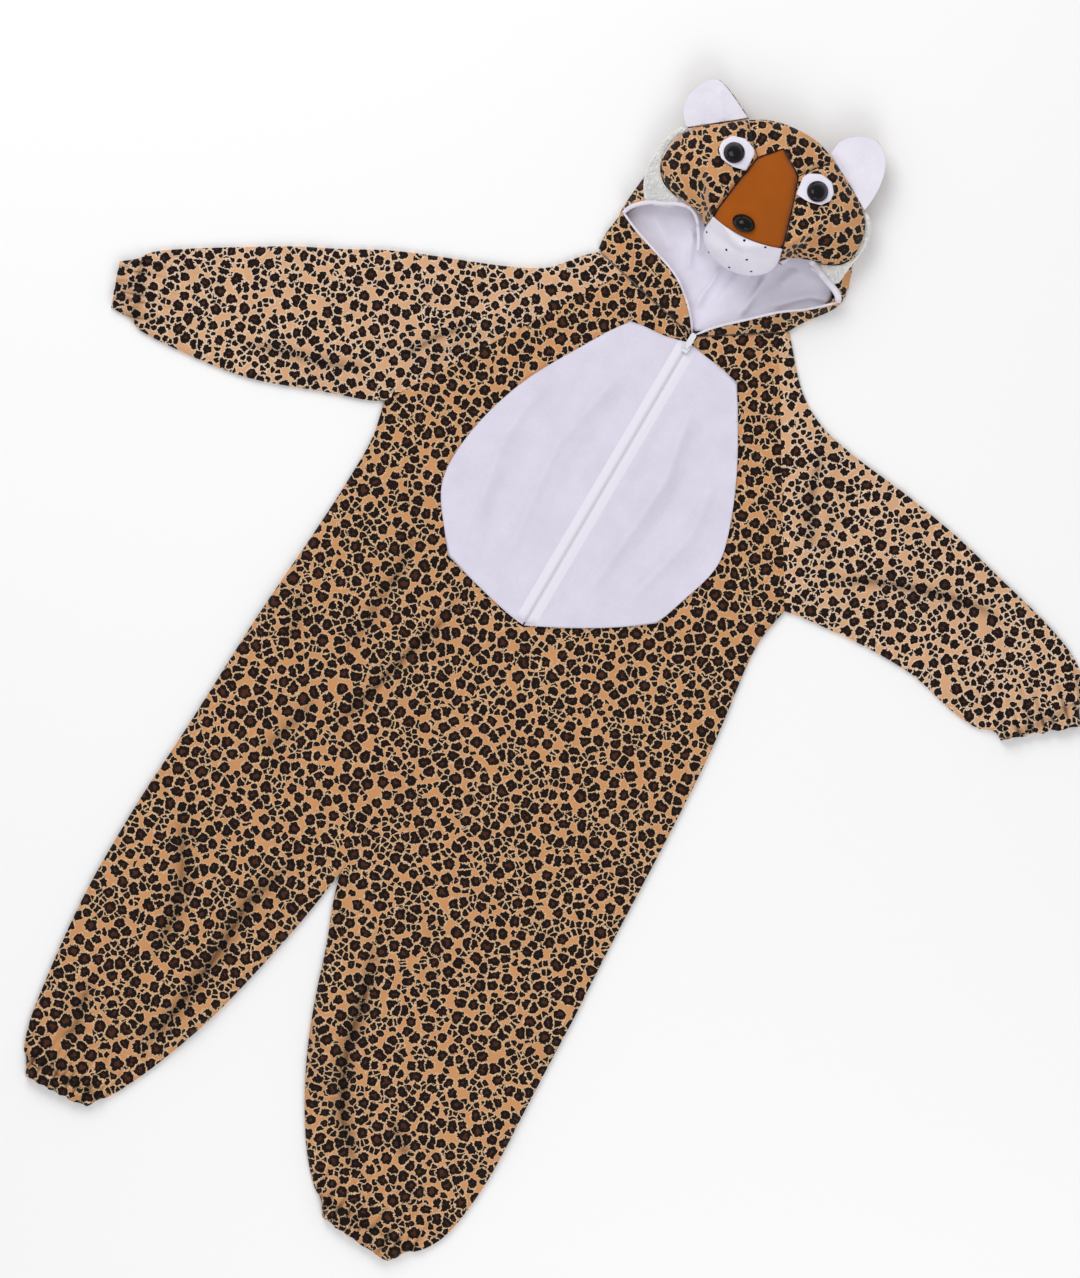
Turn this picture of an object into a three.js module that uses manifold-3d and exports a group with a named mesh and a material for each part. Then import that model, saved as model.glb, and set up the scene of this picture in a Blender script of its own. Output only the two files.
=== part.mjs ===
// A child's cheetah costume, a hooded jumpsuit laid out flat on its back, in millimetres.
// +Z is up from the floor, +Y runs from the ankles to the hood and +X to the costume's side on the right of its zip.
// Every cloth piece is a wall of its real thickness. The fronts lie on the backs, and the soft folds are raised in them.
// "left" is the side at -X and "right" the side at +X, as they are seen from above.
import * as THREE from "three";
import { mergeVertices } from "three/addons/utils/BufferGeometryUtils.js";
import Module from "manifold-3d";

// Cloth and seams
const CLOTH = 2.2; // plush cloth with its nap
const GAP = 0.3; // left between two sewn pieces
const FLAT_TOP = 6.4; // top of the front cloth where it lies flat on the back
const SEAM_Z = 2.8; // height of the side seams
const ROLL = 10; // reach of the rounded upper edge
const UNDER_ROLL = 3; // reach of the rounded lower edge
const SEAM_DIP = 1.2; // how far the cloth is pulled down along a seam
const SEAM_REACH = 5;

// The head is sewn to the hood a little turned, about the middle of its eye line.
const HEAD = { x: -11, y: 179, turn: THREE.MathUtils.degToRad(5.45) };

const CLOTHS = {
  plush: { color: 0xc99a66, roughness: 0.9 },
  white: { color: 0xdedbe8, roughness: 0.9 },
  lining: { color: 0xd9d6e4, roughness: 0.75 },
  fur: { color: 0xe3e6df, roughness: 1.0 },
  tan: { color: 0xa9591a, roughness: 0.85 },
  eye: { color: 0x14151c, roughness: 0.1 },
  nose: { color: 0x101214, roughness: 0.15 },
  zip: { color: 0xeeeef4, roughness: 0.6 },
  slider: { color: 0xf0f0f2, roughness: 0.3 },
};

// Half of the body and its leg: each row is one section, from the centre seam or inseam to the raglan or side seam.
const BODY_LEFT = [
  { inX: 0, inY: 8, outX: -86, outY: 26 },
  { inX: 0, inY: -36, outX: -112, outY: -22 },
  { inX: 0, inY: -72, outX: -138, outY: -58 },
  { inX: 0, inY: -108, outX: -170, outY: -92 },
  { inX: 0, inY: -146, outX: -198, outY: -130 },
  { inX: 0, inY: -196, outX: -217, outY: -188 },
  { inX: 0, inY: -232, outX: -208, outY: -226 },
  { inX: 0, inY: -300, outX: -209, outY: -300 },
  { inX: -12, inY: -420, outX: -218, outY: -420 },
  { inX: -26, inY: -540, outX: -221, outY: -540 },
  { inX: -30, inY: -588, outX: -224, outY: -588 },
  { inX: -38, inY: -645, outX: -226, outY: -645 },
  { inX: -49, inY: -700, outX: -226, outY: -700 },
  { inX: -63, inY: -760, outX: -222, outY: -760 },
  { inX: -82, inY: -816, outX: -215, outY: -816 },
  { inX: -98, inY: -854, outX: -209, outY: -854 },
  { inX: -113, inY: -882, outX: -199, outY: -882 },
];
const BODY_RIGHT = [
  { inX: 0, inY: 8, outX: 67, outY: 52 },
  { inX: 0, inY: -34, outX: 99, outY: 2 },
  { inX: 0, inY: -68, outX: 126, outY: -41 },
  { inX: 0, inY: -104, outX: 146, outY: -76 },
  { inX: 0, inY: -144, outX: 176, outY: -126 },
  { inX: 0, inY: -184, outX: 203, outY: -168 },
  { inX: 0, inY: -222, outX: 195, outY: -210 },
  { inX: 0, inY: -300, outX: 209, outY: -300 },
  { inX: -12, inY: -420, outX: 217, outY: -420 },
  { inX: -26, inY: -540, outX: 222, outY: -540 },
  { inX: -30, inY: -588, outX: 226, outY: -588 },
  { inX: -9, inY: -645, outX: 228, outY: -645 },
  { inX: 9, inY: -700, outX: 231, outY: -700 },
  { inX: 34, inY: -760, outX: 234, outY: -760 },
  { inX: 67, inY: -816, outX: 229, outY: -816 },
  { inX: 86, inY: -840, outX: 221, outY: -840 },
  { inX: 104, inY: -858, outX: 208, outY: -858 },
];
const CROTCH_ROW = 10; // the row of both tables where the centre seam ends and the inseams start

// Sleeves: each row is one ring, from the fold along the top to the underarm. The first row is the raglan seam.
const SLEEVE_LEFT = [
  { topX: -86, topY: 26, underX: -217, underY: -188 },
  { topX: -117, topY: 32, underX: -221, underY: -190 },
  { topX: -145, topY: -3, underX: -224, underY: -192 },
  { topX: -190, topY: -26, underX: -228, underY: -194 },
  { topX: -238, topY: -45, underX: -232, underY: -196 },
  { topX: -287, topY: -66, underX: -240, underY: -199 },
  { topX: -322, topY: -86, underX: -272, underY: -210 },
  { topX: -358, topY: -104, underX: -310, underY: -225 },
  { topX: -393, topY: -125, underX: -348, underY: -237 },
  { topX: -444, topY: -157, underX: -409, underY: -245 },
  { topX: -466, topY: -172, underX: -440, underY: -247 },
  { topX: -480, topY: -184, underX: -457, underY: -246 },
];
const SLEEVE_RIGHT = [
  { topX: 67, topY: 52, underX: 203, underY: -168 },
  { topX: 75, topY: 58, underX: 208, underY: -167 },
  { topX: 108, topY: 20, underX: 213, underY: -166 },
  { topX: 148, topY: -4, underX: 219, underY: -165 },
  { topX: 195, topY: -12, underX: 226, underY: -164 },
  { topX: 238, topY: -16, underX: 236, underY: -163 },
  { topX: 278, topY: -22, underX: 254, underY: -161 },
  { topX: 317, topY: -29, underX: 292, underY: -158 },
  { topX: 356, topY: -39, underX: 332, underY: -158 },
  { topX: 395, topY: -48, underX: 368, underY: -166 },
  { topX: 434, topY: -59, underX: 396, underY: -171 },
  { topX: 466, topY: -74, underX: 412, underY: -171 },
  { topX: 486, topY: -98, underX: 424, underY: -166 },
];

// Folds in the fronts and sleeves: the crest runs from, via and to the three points, `reach` to each side, `rise` high.
const FOLDS = [
  { from: [-61, -310], via: [-84, -410], to: [-112, -530], reach: 11, rise: 8 },
  { from: [-132, -286], via: [-136, -350], to: [-128, -430], reach: 10, rise: 5 },
  { from: [-180, -330], via: [-186, -430], to: [-176, -560], reach: 26, rise: 5 },
  { from: [-52, -612], via: [-66, -710], to: [-98, -846], reach: 12, rise: 8 },
  { from: [-112, -560], via: [-126, -690], to: [-134, -850], reach: 20, rise: 11 },
  { from: [-196, -600], via: [-186, -710], to: [-170, -840], reach: 22, rise: 9 },
  { from: [-7, -430], via: [42, -520], to: [106, -664], reach: 12, rise: 8 },
  { from: [8, -640], via: [38, -740], to: [96, -836], reach: 12, rise: 9 },
  { from: [70, -610], via: [92, -710], to: [140, -816], reach: 20, rise: 10 },
  { from: [186, -560], via: [196, -700], to: [176, -826], reach: 28, rise: 9 },
  { from: [150, -240], via: [164, -360], to: [150, -500], reach: 24, rise: 6 },
  { from: [-226, -172], via: [-192, -100], to: [-136, -44], reach: 12, rise: 9 },
  { from: [-384, -190], via: [-300, -170], to: [-226, -132], reach: 12, rise: 5 },
  { from: [-340, -208], via: [-292, -196], to: [-240, -172], reach: 9, rise: 6 },
  { from: [-430, -170], via: [-330, -126], to: [-200, -66], reach: 26, rise: 6 },
  { from: [150, -12], via: [182, -62], to: [204, -112], reach: 10, rise: 10 },
  { from: [222, -138], via: [300, -94], to: [396, -86], reach: 13, rise: 9 },
  { from: [226, -44], via: [256, -60], to: [290, -74], reach: 9, rise: 5 },
  { from: [372, -66], via: [410, -88], to: [446, -126], reach: 12, rise: 8 },
  { from: [300, -140], via: [350, -146], to: [404, -152], reach: 10, rise: 6 },
];

// Gathered casings at the ankles and wrists. `waves` counts the gathers across the upper side.
const CUFFS = [
  { name: "ankle_left", from: [[-113, -882], [-199, -882]], elastic: [[-118, -889], [-193, -890]], to: [[-123, -896], [-186, -899]], waves: 9 },
  { name: "ankle_right", from: [[104, -858], [208, -858]], elastic: [[112, -866], [200, -867]], to: [[119, -873], [191, -877]], waves: 9 },
  { name: "wrist_left", from: [[-480, -184], [-457, -246]], elastic: [[-487, -194], [-469, -242]], to: [[-495, -201], [-480, -242]], waves: 7 },
  { name: "wrist_right", from: [[486, -98], [424, -166]], elastic: [[490, -112], [431, -165]], to: [[495, -121], [437, -170]], waves: 8 },
];

// Edges of the two white belly pieces, clockwise round each from the zip's top end.
const BELLY_LEFT = [[-0.8, 2], [-24, -5], [-40, -5], [-57, -8], [-70, -26], [-88, -58], [-106, -88], [-120, -119], [-131, -157], [-136, -192], [-135, -219], [-128, -238], [-110, -260], [-93, -282], [-51, -293], [-16, -301], [-0.8, -302]];
const BELLY_RIGHT = [[0.8, 2], [18, -1], [37, -3], [57, -7], [76, -38], [93, -67], [105, -91], [115, -114], [125, -142], [129, -163], [124, -185], [117, -205], [112, -222], [106, -238], [74, -262], [35, -285], [0.8, -302]];
const BELLY_THICK = 1.6;

// Sections of the hood's sides: the cloth runs from the centre back along the floor to the folded edge, and back over the front to its rim.
const HOOD_LEFT = [
  { backX: -0.4, backY: 9, edgeX: -117, edgeY: 34.5, rimX: -3, rimY: 9.6, rimZ: 8 },
  { backX: -1, backY: 24, edgeX: -119, edgeY: 46, rimX: -10, rimY: 22, rimZ: 13 },
  { backX: -3, backY: 40, edgeX: -118, edgeY: 57, rimX: -24, rimY: 36, rimZ: 17 },
  { backX: -4, backY: 54, edgeX: -117, edgeY: 65, rimX: -42, rimY: 49, rimZ: 20 },
  { backX: -5, backY: 66, edgeX: -116, edgeY: 70, rimX: -64, rimY: 57, rimZ: 20 },
  { backX: -6, backY: 78, edgeX: -117, edgeY: 76, rimX: -90, rimY: 65, rimZ: 19 },
  { backX: -7, backY: 90, edgeX: -117, edgeY: 84, rimX: -113, rimY: 75, rimZ: 17.4 },
  { backX: -9, backY: 106, edgeX: -116, edgeY: 98, rimX: -100, rimY: 95, rimZ: 17.4 },
  { backX: -11, backY: 130, edgeX: -114, edgeY: 122, rimX: -100, rimY: 122, rimZ: 17.4 },
  { backX: -12, backY: 160, edgeX: -106, edgeY: 154, rimX: -92, rimY: 151, rimZ: 17.4 },
  { backX: -14, backY: 190, edgeX: -86, edgeY: 184, rimX: -74, rimY: 179, rimZ: 17.4 },
  { backX: -16, backY: 212, edgeX: -50, edgeY: 204, rimX: -44, rimY: 196, rimZ: 17.4 },
];
const HOOD_RIGHT = [
  { backX: -0.4, backY: 9, edgeX: 75, edgeY: 59, rimX: 3, rimY: 11.4, rimZ: 8 },
  { backX: -1, backY: 26, edgeX: 78, edgeY: 66, rimX: 14, rimY: 27, rimZ: 13 },
  { backX: -2, backY: 44, edgeX: 84, edgeY: 75, rimX: 36, rimY: 48, rimZ: 18 },
  { backX: -4, backY: 60, edgeX: 91, edgeY: 84, rimX: 57, rimY: 68, rimZ: 20 },
  { backX: -5, backY: 74, edgeX: 97, edgeY: 92, rimX: 76, rimY: 82, rimZ: 19 },
  { backX: -6, backY: 86, edgeX: 101, edgeY: 99, rimX: 88, rimY: 91, rimZ: 18 },
  { backX: -7, backY: 98, edgeX: 104, edgeY: 107, rimX: 96, rimY: 102, rimZ: 17.4 },
  { backX: -8, backY: 112, edgeX: 103, edgeY: 121, rimX: 88, rimY: 117, rimZ: 17.4 },
  { backX: -10, backY: 134, edgeX: 94, edgeY: 142, rimX: 80, rimY: 139, rimZ: 17.4 },
  { backX: -12, backY: 160, edgeX: 88, edgeY: 166, rimX: 76, rimY: 162, rimZ: 17.4 },
  { backX: -14, backY: 188, edgeX: 70, edgeY: 190, rimX: 60, rimY: 184, rimZ: 17.4 },
  { backX: -16, backY: 212, edgeX: 26, edgeY: 213, rimX: 20, rimY: 204, rimZ: 17.4 },
];

// The hood's lining, a shallow dish that shows in the hood's mouth: its rim with heights, and its middle.
const LINING_RIM = [[-1, 14.5, 6.6], [-24, 28, 8], [-54, 46, 10], [-88, 59, 9], [-111.5, 77, 7.2], [-102, 98, 9], [-78, 116, 10], [-44, 130, 10], [-8, 136, 10], [30, 136, 10], [62, 132, 10], [84, 120, 9], [94, 104, 7], [80, 80, 10], [56, 58, 10], [26, 33, 8]];
const LINING = { x: -8, y: 84, low: 4.6, thick: 2 };

// The padded face, in the head's own axes, as points with heights on its right half. The left half is its mirror image.
const BASE_Z = 17.8; // underside of the padding
const BROW_END = [44, 33, 28];
const SHOULDER = [21, 6, 44];
const APEX = [-3, 23, 42];
const CORNER = [36, -62, 62];
const CHEEK_TIP = [38, -74, 36];
const BRIDGE_SIDE = [SHOULDER, [29, -28, 54], CORNER];
const BRIDGE_FOOT = [CORNER, [20, -66, 71], [0, -67, 74], [-20, -66, 71], mirrored(CORNER)];
const CHEEK_EDGE = [CHEEK_TIP, [50, -63, 28], [70, -60, 23], [90, -52, 22], [100, -36, 22], [99, -15, 22], [89, 3, 23], [70, 17, 25], BROW_END];
const FOREHEAD_EDGE = [BROW_END, [26, 42, 25], [0, 45, 24], [-26, 42, 25], mirrored(BROW_END)];
const MUZZLE_FRONT = [CHEEK_TIP, [35, -86, 32], [20, -97, 30], [0, -101, 30], [-20, -97, 30], [-35, -86, 32], mirrored(CHEEK_TIP)];
const EYE = { x: 42.7, y: 0, radius: 10, rise: 7 };
const EYE_PATCH = [[25, 6.5], [28, 11.5], [39, 16], [51, 13.5], [57, 5], [57, -3], [51, -10], [39, -12.5], [26, -10.5]];
const NOSE = { x: -7, y: -56, long: 11, wide: 8, rise: 6 };
const EAR_RIGHT = [[40.4, 37.1], [42.4, 51.1], [55.4, 62.1], [73.4, 66.1], [86.4, 56.1], [92.4, 37.1], [92.4, 19.1], [89.4, 4.1]];
const EAR_LEFT = [[-43.4, 35.0], [-53.4, 41.0], [-66.4, 49.0], [-84.4, 56.0], [-94.4, 47.0], [-101.4, 33.0], [-101.4, 17.1], [-91.4, 3.0]];
const EAR_Z = 18;
// Long-pile bands round the cheeks: from the cheek's edge out to these points, with their heights.
const FUR_RIGHT = [[66, -66, 20], [80, -70, 20], [95, -71, 20.2], [98, -58, 20], [101, -44, 20], [105, -28, 20], [104, -12, 20], [96, 0, 20]];
const FUR_LEFT = [[-72, -68, 20], [-84, -74, 20], [-98, -75, 20.2], [-108, -58, 20], [-110, -42, 20], [-108, -26, 20], [-105, -12, 20], [-98, 1, 20]];
const FUR_THICK = 2.2;
const FUR_Z = 20.4;

// Zip: two tapes with a coil between them, a slider and its pull tab
const ZIP = { top: 4, bottom: -299, tape: 12.5, thick: 0.8, coil: 3, coilHigh: 1.2 };
const SLIDER = { y: 1, long: 9, high: 2.4, pinDown: 4 };
const TAB = { long: 15, wide: 5.6, thick: 1.1, pin: 0.8 };

function mirrored([x, y, z]) {
  return [-x, y, z];
}

// Smooth values between the rows of a table, without overshoot: a monotone cubic for each column.
function smoothRows(table, between) {
  const keys = Object.keys(table[0]);
  const slope = (key, i) => {
    const step = (j) => table[j + 1][key] - table[j][key];
    if (i === 0 || i === table.length - 1) return 0;
    const [a, b] = [step(i - 1), step(i)];
    return a * b <= 0 ? 0 : (2 * a * b) / (a + b);
  };
  const rows = [];
  for (let i = 0; i + 1 < table.length; i++)
    for (let k = 0; k < between; k++) {
      const t = k / between;
      const row = {};
      for (const key of keys) {
        const [a, b] = [table[i][key], table[i + 1][key]];
        const [ma, mb] = [i ? slope(key, i) : b - a, i + 2 < table.length ? slope(key, i + 1) : b - a];
        row[key] = a * (2 * t ** 3 - 3 * t ** 2 + 1) + ma * (t ** 3 - 2 * t ** 2 + t) + b * (3 * t ** 2 - 2 * t ** 3) + mb * (t ** 3 - t ** 2);
      }
      rows.push(row);
    }
  rows.push({ ...table[table.length - 1] });
  return rows;
}

// Distance from a point to a segment, and how far along it the nearest place is
function toSegment(x, y, [ax, ay], [bx, by]) {
  const [dx, dy] = [bx - ax, by - ay];
  const t = THREE.MathUtils.clamp(((x - ax) * dx + (y - ay) * dy) / (dx * dx + dy * dy || 1), 0, 1);
  return { away: Math.hypot(x - ax - t * dx, y - ay - t * dy), along: t };
}

const ROWS_BETWEEN = 2;
const ARMPIT_ROW = 5; // the row of both tables where the raglan seam ends and the side seam starts
const bodyLeft = smoothRows(BODY_LEFT, ROWS_BETWEEN);
const bodyRight = smoothRows(BODY_RIGHT, ROWS_BETWEEN);
for (const rows of [bodyLeft, bodyRight]) {
  const last = ARMPIT_ROW * ROWS_BETWEEN;
  const [neck, armpit] = [rows[0], { ...rows[last] }];
  for (let i = 0; i <= last; i++) {
    rows[i].outX = THREE.MathUtils.lerp(neck.outX, armpit.outX, i / last); // the raglan seams are straight
    rows[i].outY = THREE.MathUtils.lerp(neck.outY, armpit.outY, i / last);
  }
}
for (let i = 0; i <= CROTCH_ROW * ROWS_BETWEEN; i++) Object.assign(bodyRight[i], { inX: bodyLeft[i].inX, inY: bodyLeft[i].inY }); // one centre seam
const sleeveLeft = smoothRows(SLEEVE_LEFT, ROWS_BETWEEN);
const sleeveRight = smoothRows(SLEEVE_RIGHT, ROWS_BETWEEN);
const inSeam = (rows) => rows.slice(CROTCH_ROW * ROWS_BETWEEN).map((r) => [r.inX, r.inY]);
const sideSeam = (rows) => rows.slice(ARMPIT_ROW * ROWS_BETWEEN).map((r) => [r.outX, r.outY]);
const topEdge = (rows) => rows.slice(ROWS_BETWEEN).map((r) => [r.topX, r.topY]);
const underEdge = (rows) => rows.map((r) => [r.underX, r.underY]);

// Every free edge of the laid-out suit; the cloth rounds down to the floor along these lines.
const FREE_EDGES = [
  inSeam(bodyLeft),
  inSeam(bodyRight),
  sideSeam(bodyLeft),
  sideSeam(bodyRight),
  topEdge(sleeveLeft),
  underEdge(sleeveLeft),
  topEdge(sleeveRight),
  underEdge(sleeveRight),
];
// Every seam that lies inside the suit
const raglan = (rows) => rows.slice(0, ARMPIT_ROW * ROWS_BETWEEN + 1).map((r) => [r.outX, r.outY]);
const belowZip = (rows) => rows.slice(8 * ROWS_BETWEEN - 1, CROTCH_ROW * ROWS_BETWEEN + 1).map((r) => [r.inX, r.inY]);
const INNER_SEAMS = [raglan(bodyLeft), raglan(bodyRight), belowZip(bodyLeft)];

const toLines = (x, y, lines) => {
  let best = Infinity;
  for (const line of lines) for (let i = 0; i + 1 < line.length; i++) best = Math.min(best, toSegment(x, y, line[i], line[i + 1]).away);
  return best;
};
const rounded = (d, reach) => (d >= reach ? 1 : Math.sqrt(1 - (1 - d / reach) ** 2));

const foldLines = FOLDS.map(({ from, via, to, reach, rise }) => {
  const curve = new THREE.QuadraticBezierCurve(
    new THREE.Vector2(...from),
    new THREE.Vector2(...via).multiplyScalar(2).sub(new THREE.Vector2(...from).add(new THREE.Vector2(...to)).multiplyScalar(0.5)),
    new THREE.Vector2(...to),
  );
  return { line: curve.getPoints(8).map((p) => [p.x, p.y]), reach, rise };
});

function foldHeight(x, y) {
  let sum = 0;
  for (const { line, reach, rise } of foldLines) {
    let [away, along] = [Infinity, 0];
    for (let i = 0; i + 1 < line.length; i++) {
      const near = toSegment(x, y, line[i], line[i + 1]);
      if (near.away < away) [away, along] = [near.away, (i + near.along) / (line.length - 1)];
    }
    const ends = THREE.MathUtils.smoothstep(Math.min(along, 1 - along), 0, 0.22);
    sum += rise * ends * Math.exp(-((away / reach) ** 2));
  }
  return sum;
}

// Height of the upper face of the front cloth at a place on the suit
function clothTop(x, y) {
  const edge = toLines(x, y, FREE_EDGES);
  const seam = toLines(x, y, INNER_SEAMS);
  const dip = SEAM_DIP * Math.exp(-((seam / SEAM_REACH) ** 2));
  return SEAM_Z + rounded(edge, ROLL) * (FLAT_TOP - SEAM_Z) + rounded(edge, 3 * ROLL) * foldHeight(x, y) - dip * rounded(edge, ROLL);
}

const v3 = (x, y, z) => new THREE.Vector3(x, y, z);

// A closed mesh from points and triangles, turned so that its faces point out
function closed(points, faces) {
  let volume = 0;
  for (let i = 0; i < faces.length; i += 3) volume += points[faces[i]].dot(points[faces[i + 1]].clone().cross(points[faces[i + 2]]));
  if (volume < 0) faces.reverse();
  const geometry = new THREE.BufferGeometry();
  geometry.setAttribute("position", new THREE.Float32BufferAttribute(points.flatMap((p) => [p.x, p.y, p.z]), 3));
  geometry.setIndex(faces);
  geometry.computeVertexNormals();
  return geometry;
}

// A wall between two lattices of rows and columns: the face that shows and the one behind it. In a ring the columns close on themselves.
function wall(outer, inner, ring = false) {
  const [rows, cols] = [outer.length, outer[0].length];
  const at = (side, r, c) => side * rows * cols + r * cols + (c % cols);
  const faces = [];
  const quad = (a, b, c, d) => faces.push(a, b, c, a, c, d);
  const spans = ring ? cols : cols - 1;
  for (let c = 0; c < spans; c++) {
    for (let r = 0; r + 1 < rows; r++) {
      quad(at(0, r, c), at(0, r, c + 1), at(0, r + 1, c + 1), at(0, r + 1, c));
      quad(at(1, r, c), at(1, r + 1, c), at(1, r + 1, c + 1), at(1, r, c + 1));
    }
    quad(at(0, 0, c), at(1, 0, c), at(1, 0, c + 1), at(0, 0, c + 1));
    quad(at(0, rows - 1, c), at(0, rows - 1, c + 1), at(1, rows - 1, c + 1), at(1, rows - 1, c));
  }
  if (!ring)
    for (let r = 0; r + 1 < rows; r++) {
      quad(at(0, r, 0), at(0, r + 1, 0), at(1, r + 1, 0), at(1, r, 0));
      quad(at(0, r, spans), at(1, r, spans), at(1, r + 1, spans), at(0, r + 1, spans));
    }
  return closed([...outer.flat(), ...inner.flat()], faces);
}

// Distances across a section: close together at rounded ends, even between them
function spread(width, startRoll, endRoll, middle, shares = [0, 0.134, 0.5, 1]) {
  const near = (reach) => shares.map((share) => share * reach);
  const [start, end] = [near(startRoll), near(endRoll).map((d) => width - d).reverse()];
  const [a, b] = [startRoll, width - endRoll];
  const steps = Array.from({ length: middle }, (_, i) => a + ((b - a) * (i + 1)) / (middle + 1));
  return [...start, ...steps, ...end];
}

// A section's line with both ends drawn in by half the gap between sewn pieces
function sectionLine([ax, ay], [bx, by]) {
  const full = Math.hypot(bx - ax, by - ay);
  const [ux, uy] = [(bx - ax) / full, (by - ay) / full];
  return { x: ax + (ux * GAP) / 2, y: ay + (uy * GAP) / 2, ux, uy, width: full - GAP };
}
const onLine = (line, d, height) => {
  const [x, y] = [line.x + line.ux * d, line.y + line.uy * d];
  return v3(x, y, height(x, y, d));
};
// Behind a rounded end the cloth's inner face starts a thickness in.
const insetAt = (d, free, reach) => (free && d < reach ? CLOTH + (d * (reach - CLOTH)) / reach : d);
const insetBoth = (d, width, freeStart, freeEnd, reach) => (d < width / 2 ? insetAt(d, freeStart, reach) : width - insetAt(width - d, freeEnd, reach));

// The first and last rows stop short of the seams there.
function shiftEnds(lattice) {
  for (const [row, next] of [[lattice[0], lattice[1]], [lattice[lattice.length - 1], lattice[lattice.length - 2]]])
    row.forEach((p, i) => {
      const way = v3(next[i].x - p.x, next[i].y - p.y, 0).normalize();
      p.addScaledVector(way, GAP / 2);
    });
}

const insideTop = (x, y) => Math.max(clothTop(x, y) - CLOTH, CLOTH + 0.4);
const FRONT_COLUMNS = 6;
const freeSides = (i) => [i > CROTCH_ROW * ROWS_BETWEEN, i > ARMPIT_ROW * ROWS_BETWEEN];
function frontPanel(rows) {
  const [outer, inner] = [[], []];
  rows.forEach((r, i) => {
    const line = sectionLine([r.inX, r.inY], [r.outX, r.outY]);
    const reach = Math.min(ROLL, line.width / 5);
    const [freeIn, freeOut] = freeSides(i);
    const distances = spread(line.width, reach, reach, FRONT_COLUMNS);
    outer.push(distances.map((d) => onLine(line, d, clothTop)));
    inner.push(distances.map((d) => onLine(line, insetBoth(d, line.width, freeIn, freeOut, reach), insideTop)));
  });
  shiftEnds(outer);
  shiftEnds(inner);
  return wall(outer, inner);
}

const UNDER_COLUMNS = 1;
const underCurl = (d) => (SEAM_Z - GAP) * (1 - rounded(d, UNDER_ROLL));
function backPanel(rows) {
  const [outer, inner] = [[], []];
  rows.forEach((r, i) => {
    if (i % ROWS_BETWEEN) return;
    const line = sectionLine([r.inX, r.inY], [r.outX, r.outY]);
    const [freeIn, freeOut] = freeSides(i);
    const curl = (d) => Math.max(freeIn ? underCurl(d) : 0, freeOut ? underCurl(line.width - d) : 0);
    const distances = spread(line.width, UNDER_ROLL, UNDER_ROLL, UNDER_COLUMNS, [0, 0.4, 1]);
    outer.push(distances.map((d) => onLine(line, d, () => curl(d))));
    inner.push(distances.map((d) => {
      const inset = insetBoth(d, line.width, freeIn, freeOut, UNDER_ROLL);
      return onLine(line, inset, () => curl(inset) + CLOTH);
    }));
  });
  shiftEnds(outer);
  shiftEnds(inner);
  return wall(outer, inner);
}

const SLEEVE_COLUMNS = 5;
function sleeve(rows) {
  const [outer, inner] = [[], []];
  for (const r of rows) {
    const line = sectionLine([r.topX, r.topY], [r.underX, r.underY]);
    const reach = Math.min(ROLL, line.width / 5);
    const above = spread(line.width, reach, reach, SLEEVE_COLUMNS);
    const below = spread(line.width, UNDER_ROLL, UNDER_ROLL, 0, [0, 0.4, 1]).slice(1, -1).reverse();
    const curl = (d) => underCurl(Math.min(d, line.width - d));
    outer.push([...above.map((d) => onLine(line, d, clothTop)), ...below.map((d) => onLine(line, d, () => curl(d)))]);
    inner.push([
      ...above.map((d) => onLine(line, insetBoth(d, line.width, true, true, reach), insideTop)),
      ...below.map((d) => {
        const inset = insetBoth(d, line.width, true, true, UNDER_ROLL);
        return onLine(line, inset, () => curl(inset) + CLOTH);
      }),
    ]);
  }
  shiftEnds(outer);
  shiftEnds(inner);
  return wall(outer, inner, true);
}

// A casing gathered on elastic: its upper and lower sides, each a thin strip of small waves
const GATHER = 1.7; // half the height of a gather at the elastic
const CASING = 1.5;
const POINTS_PER_WAVE = 4;
function casing({ from, elastic, to, waves }, upper) {
  const depth = [0.35, 1, 1.25];
  const count = upper ? waves * POINTS_PER_WAVE : 10;
  const outer = [from, elastic, to].map(([start, end], i) => {
    const line = sectionLine(start, end);
    return Array.from({ length: count + 1 }, (_, k) => onLine(line, (line.width * k) / count, (x, y, d) => {
      const edge = rounded(Math.min(d, line.width - d), ROLL / 2);
      const wave = GATHER * depth[i] * (1 - Math.cos((2 * Math.PI * waves * d) / line.width));
      return upper ? SEAM_Z + CASING + edge * (FLAT_TOP - SEAM_Z - CASING - 0.6 + wave) : (1 - edge) * (SEAM_Z - CASING - GAP);
    }));
  });
  outer[0].forEach((p, i) => p.addScaledVector(v3(outer[1][i].x - p.x, outer[1][i].y - p.y, 0).normalize(), GAP / 2));
  return wall(outer, outer.map((s) => s.map((p) => v3(p.x, p.y, p.z + (upper ? -CASING : CASING)))));
}

// Cloth that lies on other cloth: a fan of rings from its middle to its edge, on a height function
function applique(rim, middle, under, thick, rings, lift = 0.5) {
  const count = rim.length;
  const thickAt = typeof thick === "function" ? thick : () => thick;
  const [top, bottom] = [[], []];
  for (let k = 1; k <= rings; k++)
    for (const [x, y] of rim) {
      const [px, py] = [middle[0] + ((x - middle[0]) * k) / rings, middle[1] + ((y - middle[1]) * k) / rings];
      const z = under(px, py) + lift;
      bottom.push(v3(px, py, z));
      top.push(v3(px, py, z + thickAt(k / rings)));
    }
  const z = under(...middle) + lift;
  return fan(top, bottom, v3(...middle, z + thickAt(0)), v3(...middle, z), count, rings);
}

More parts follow.
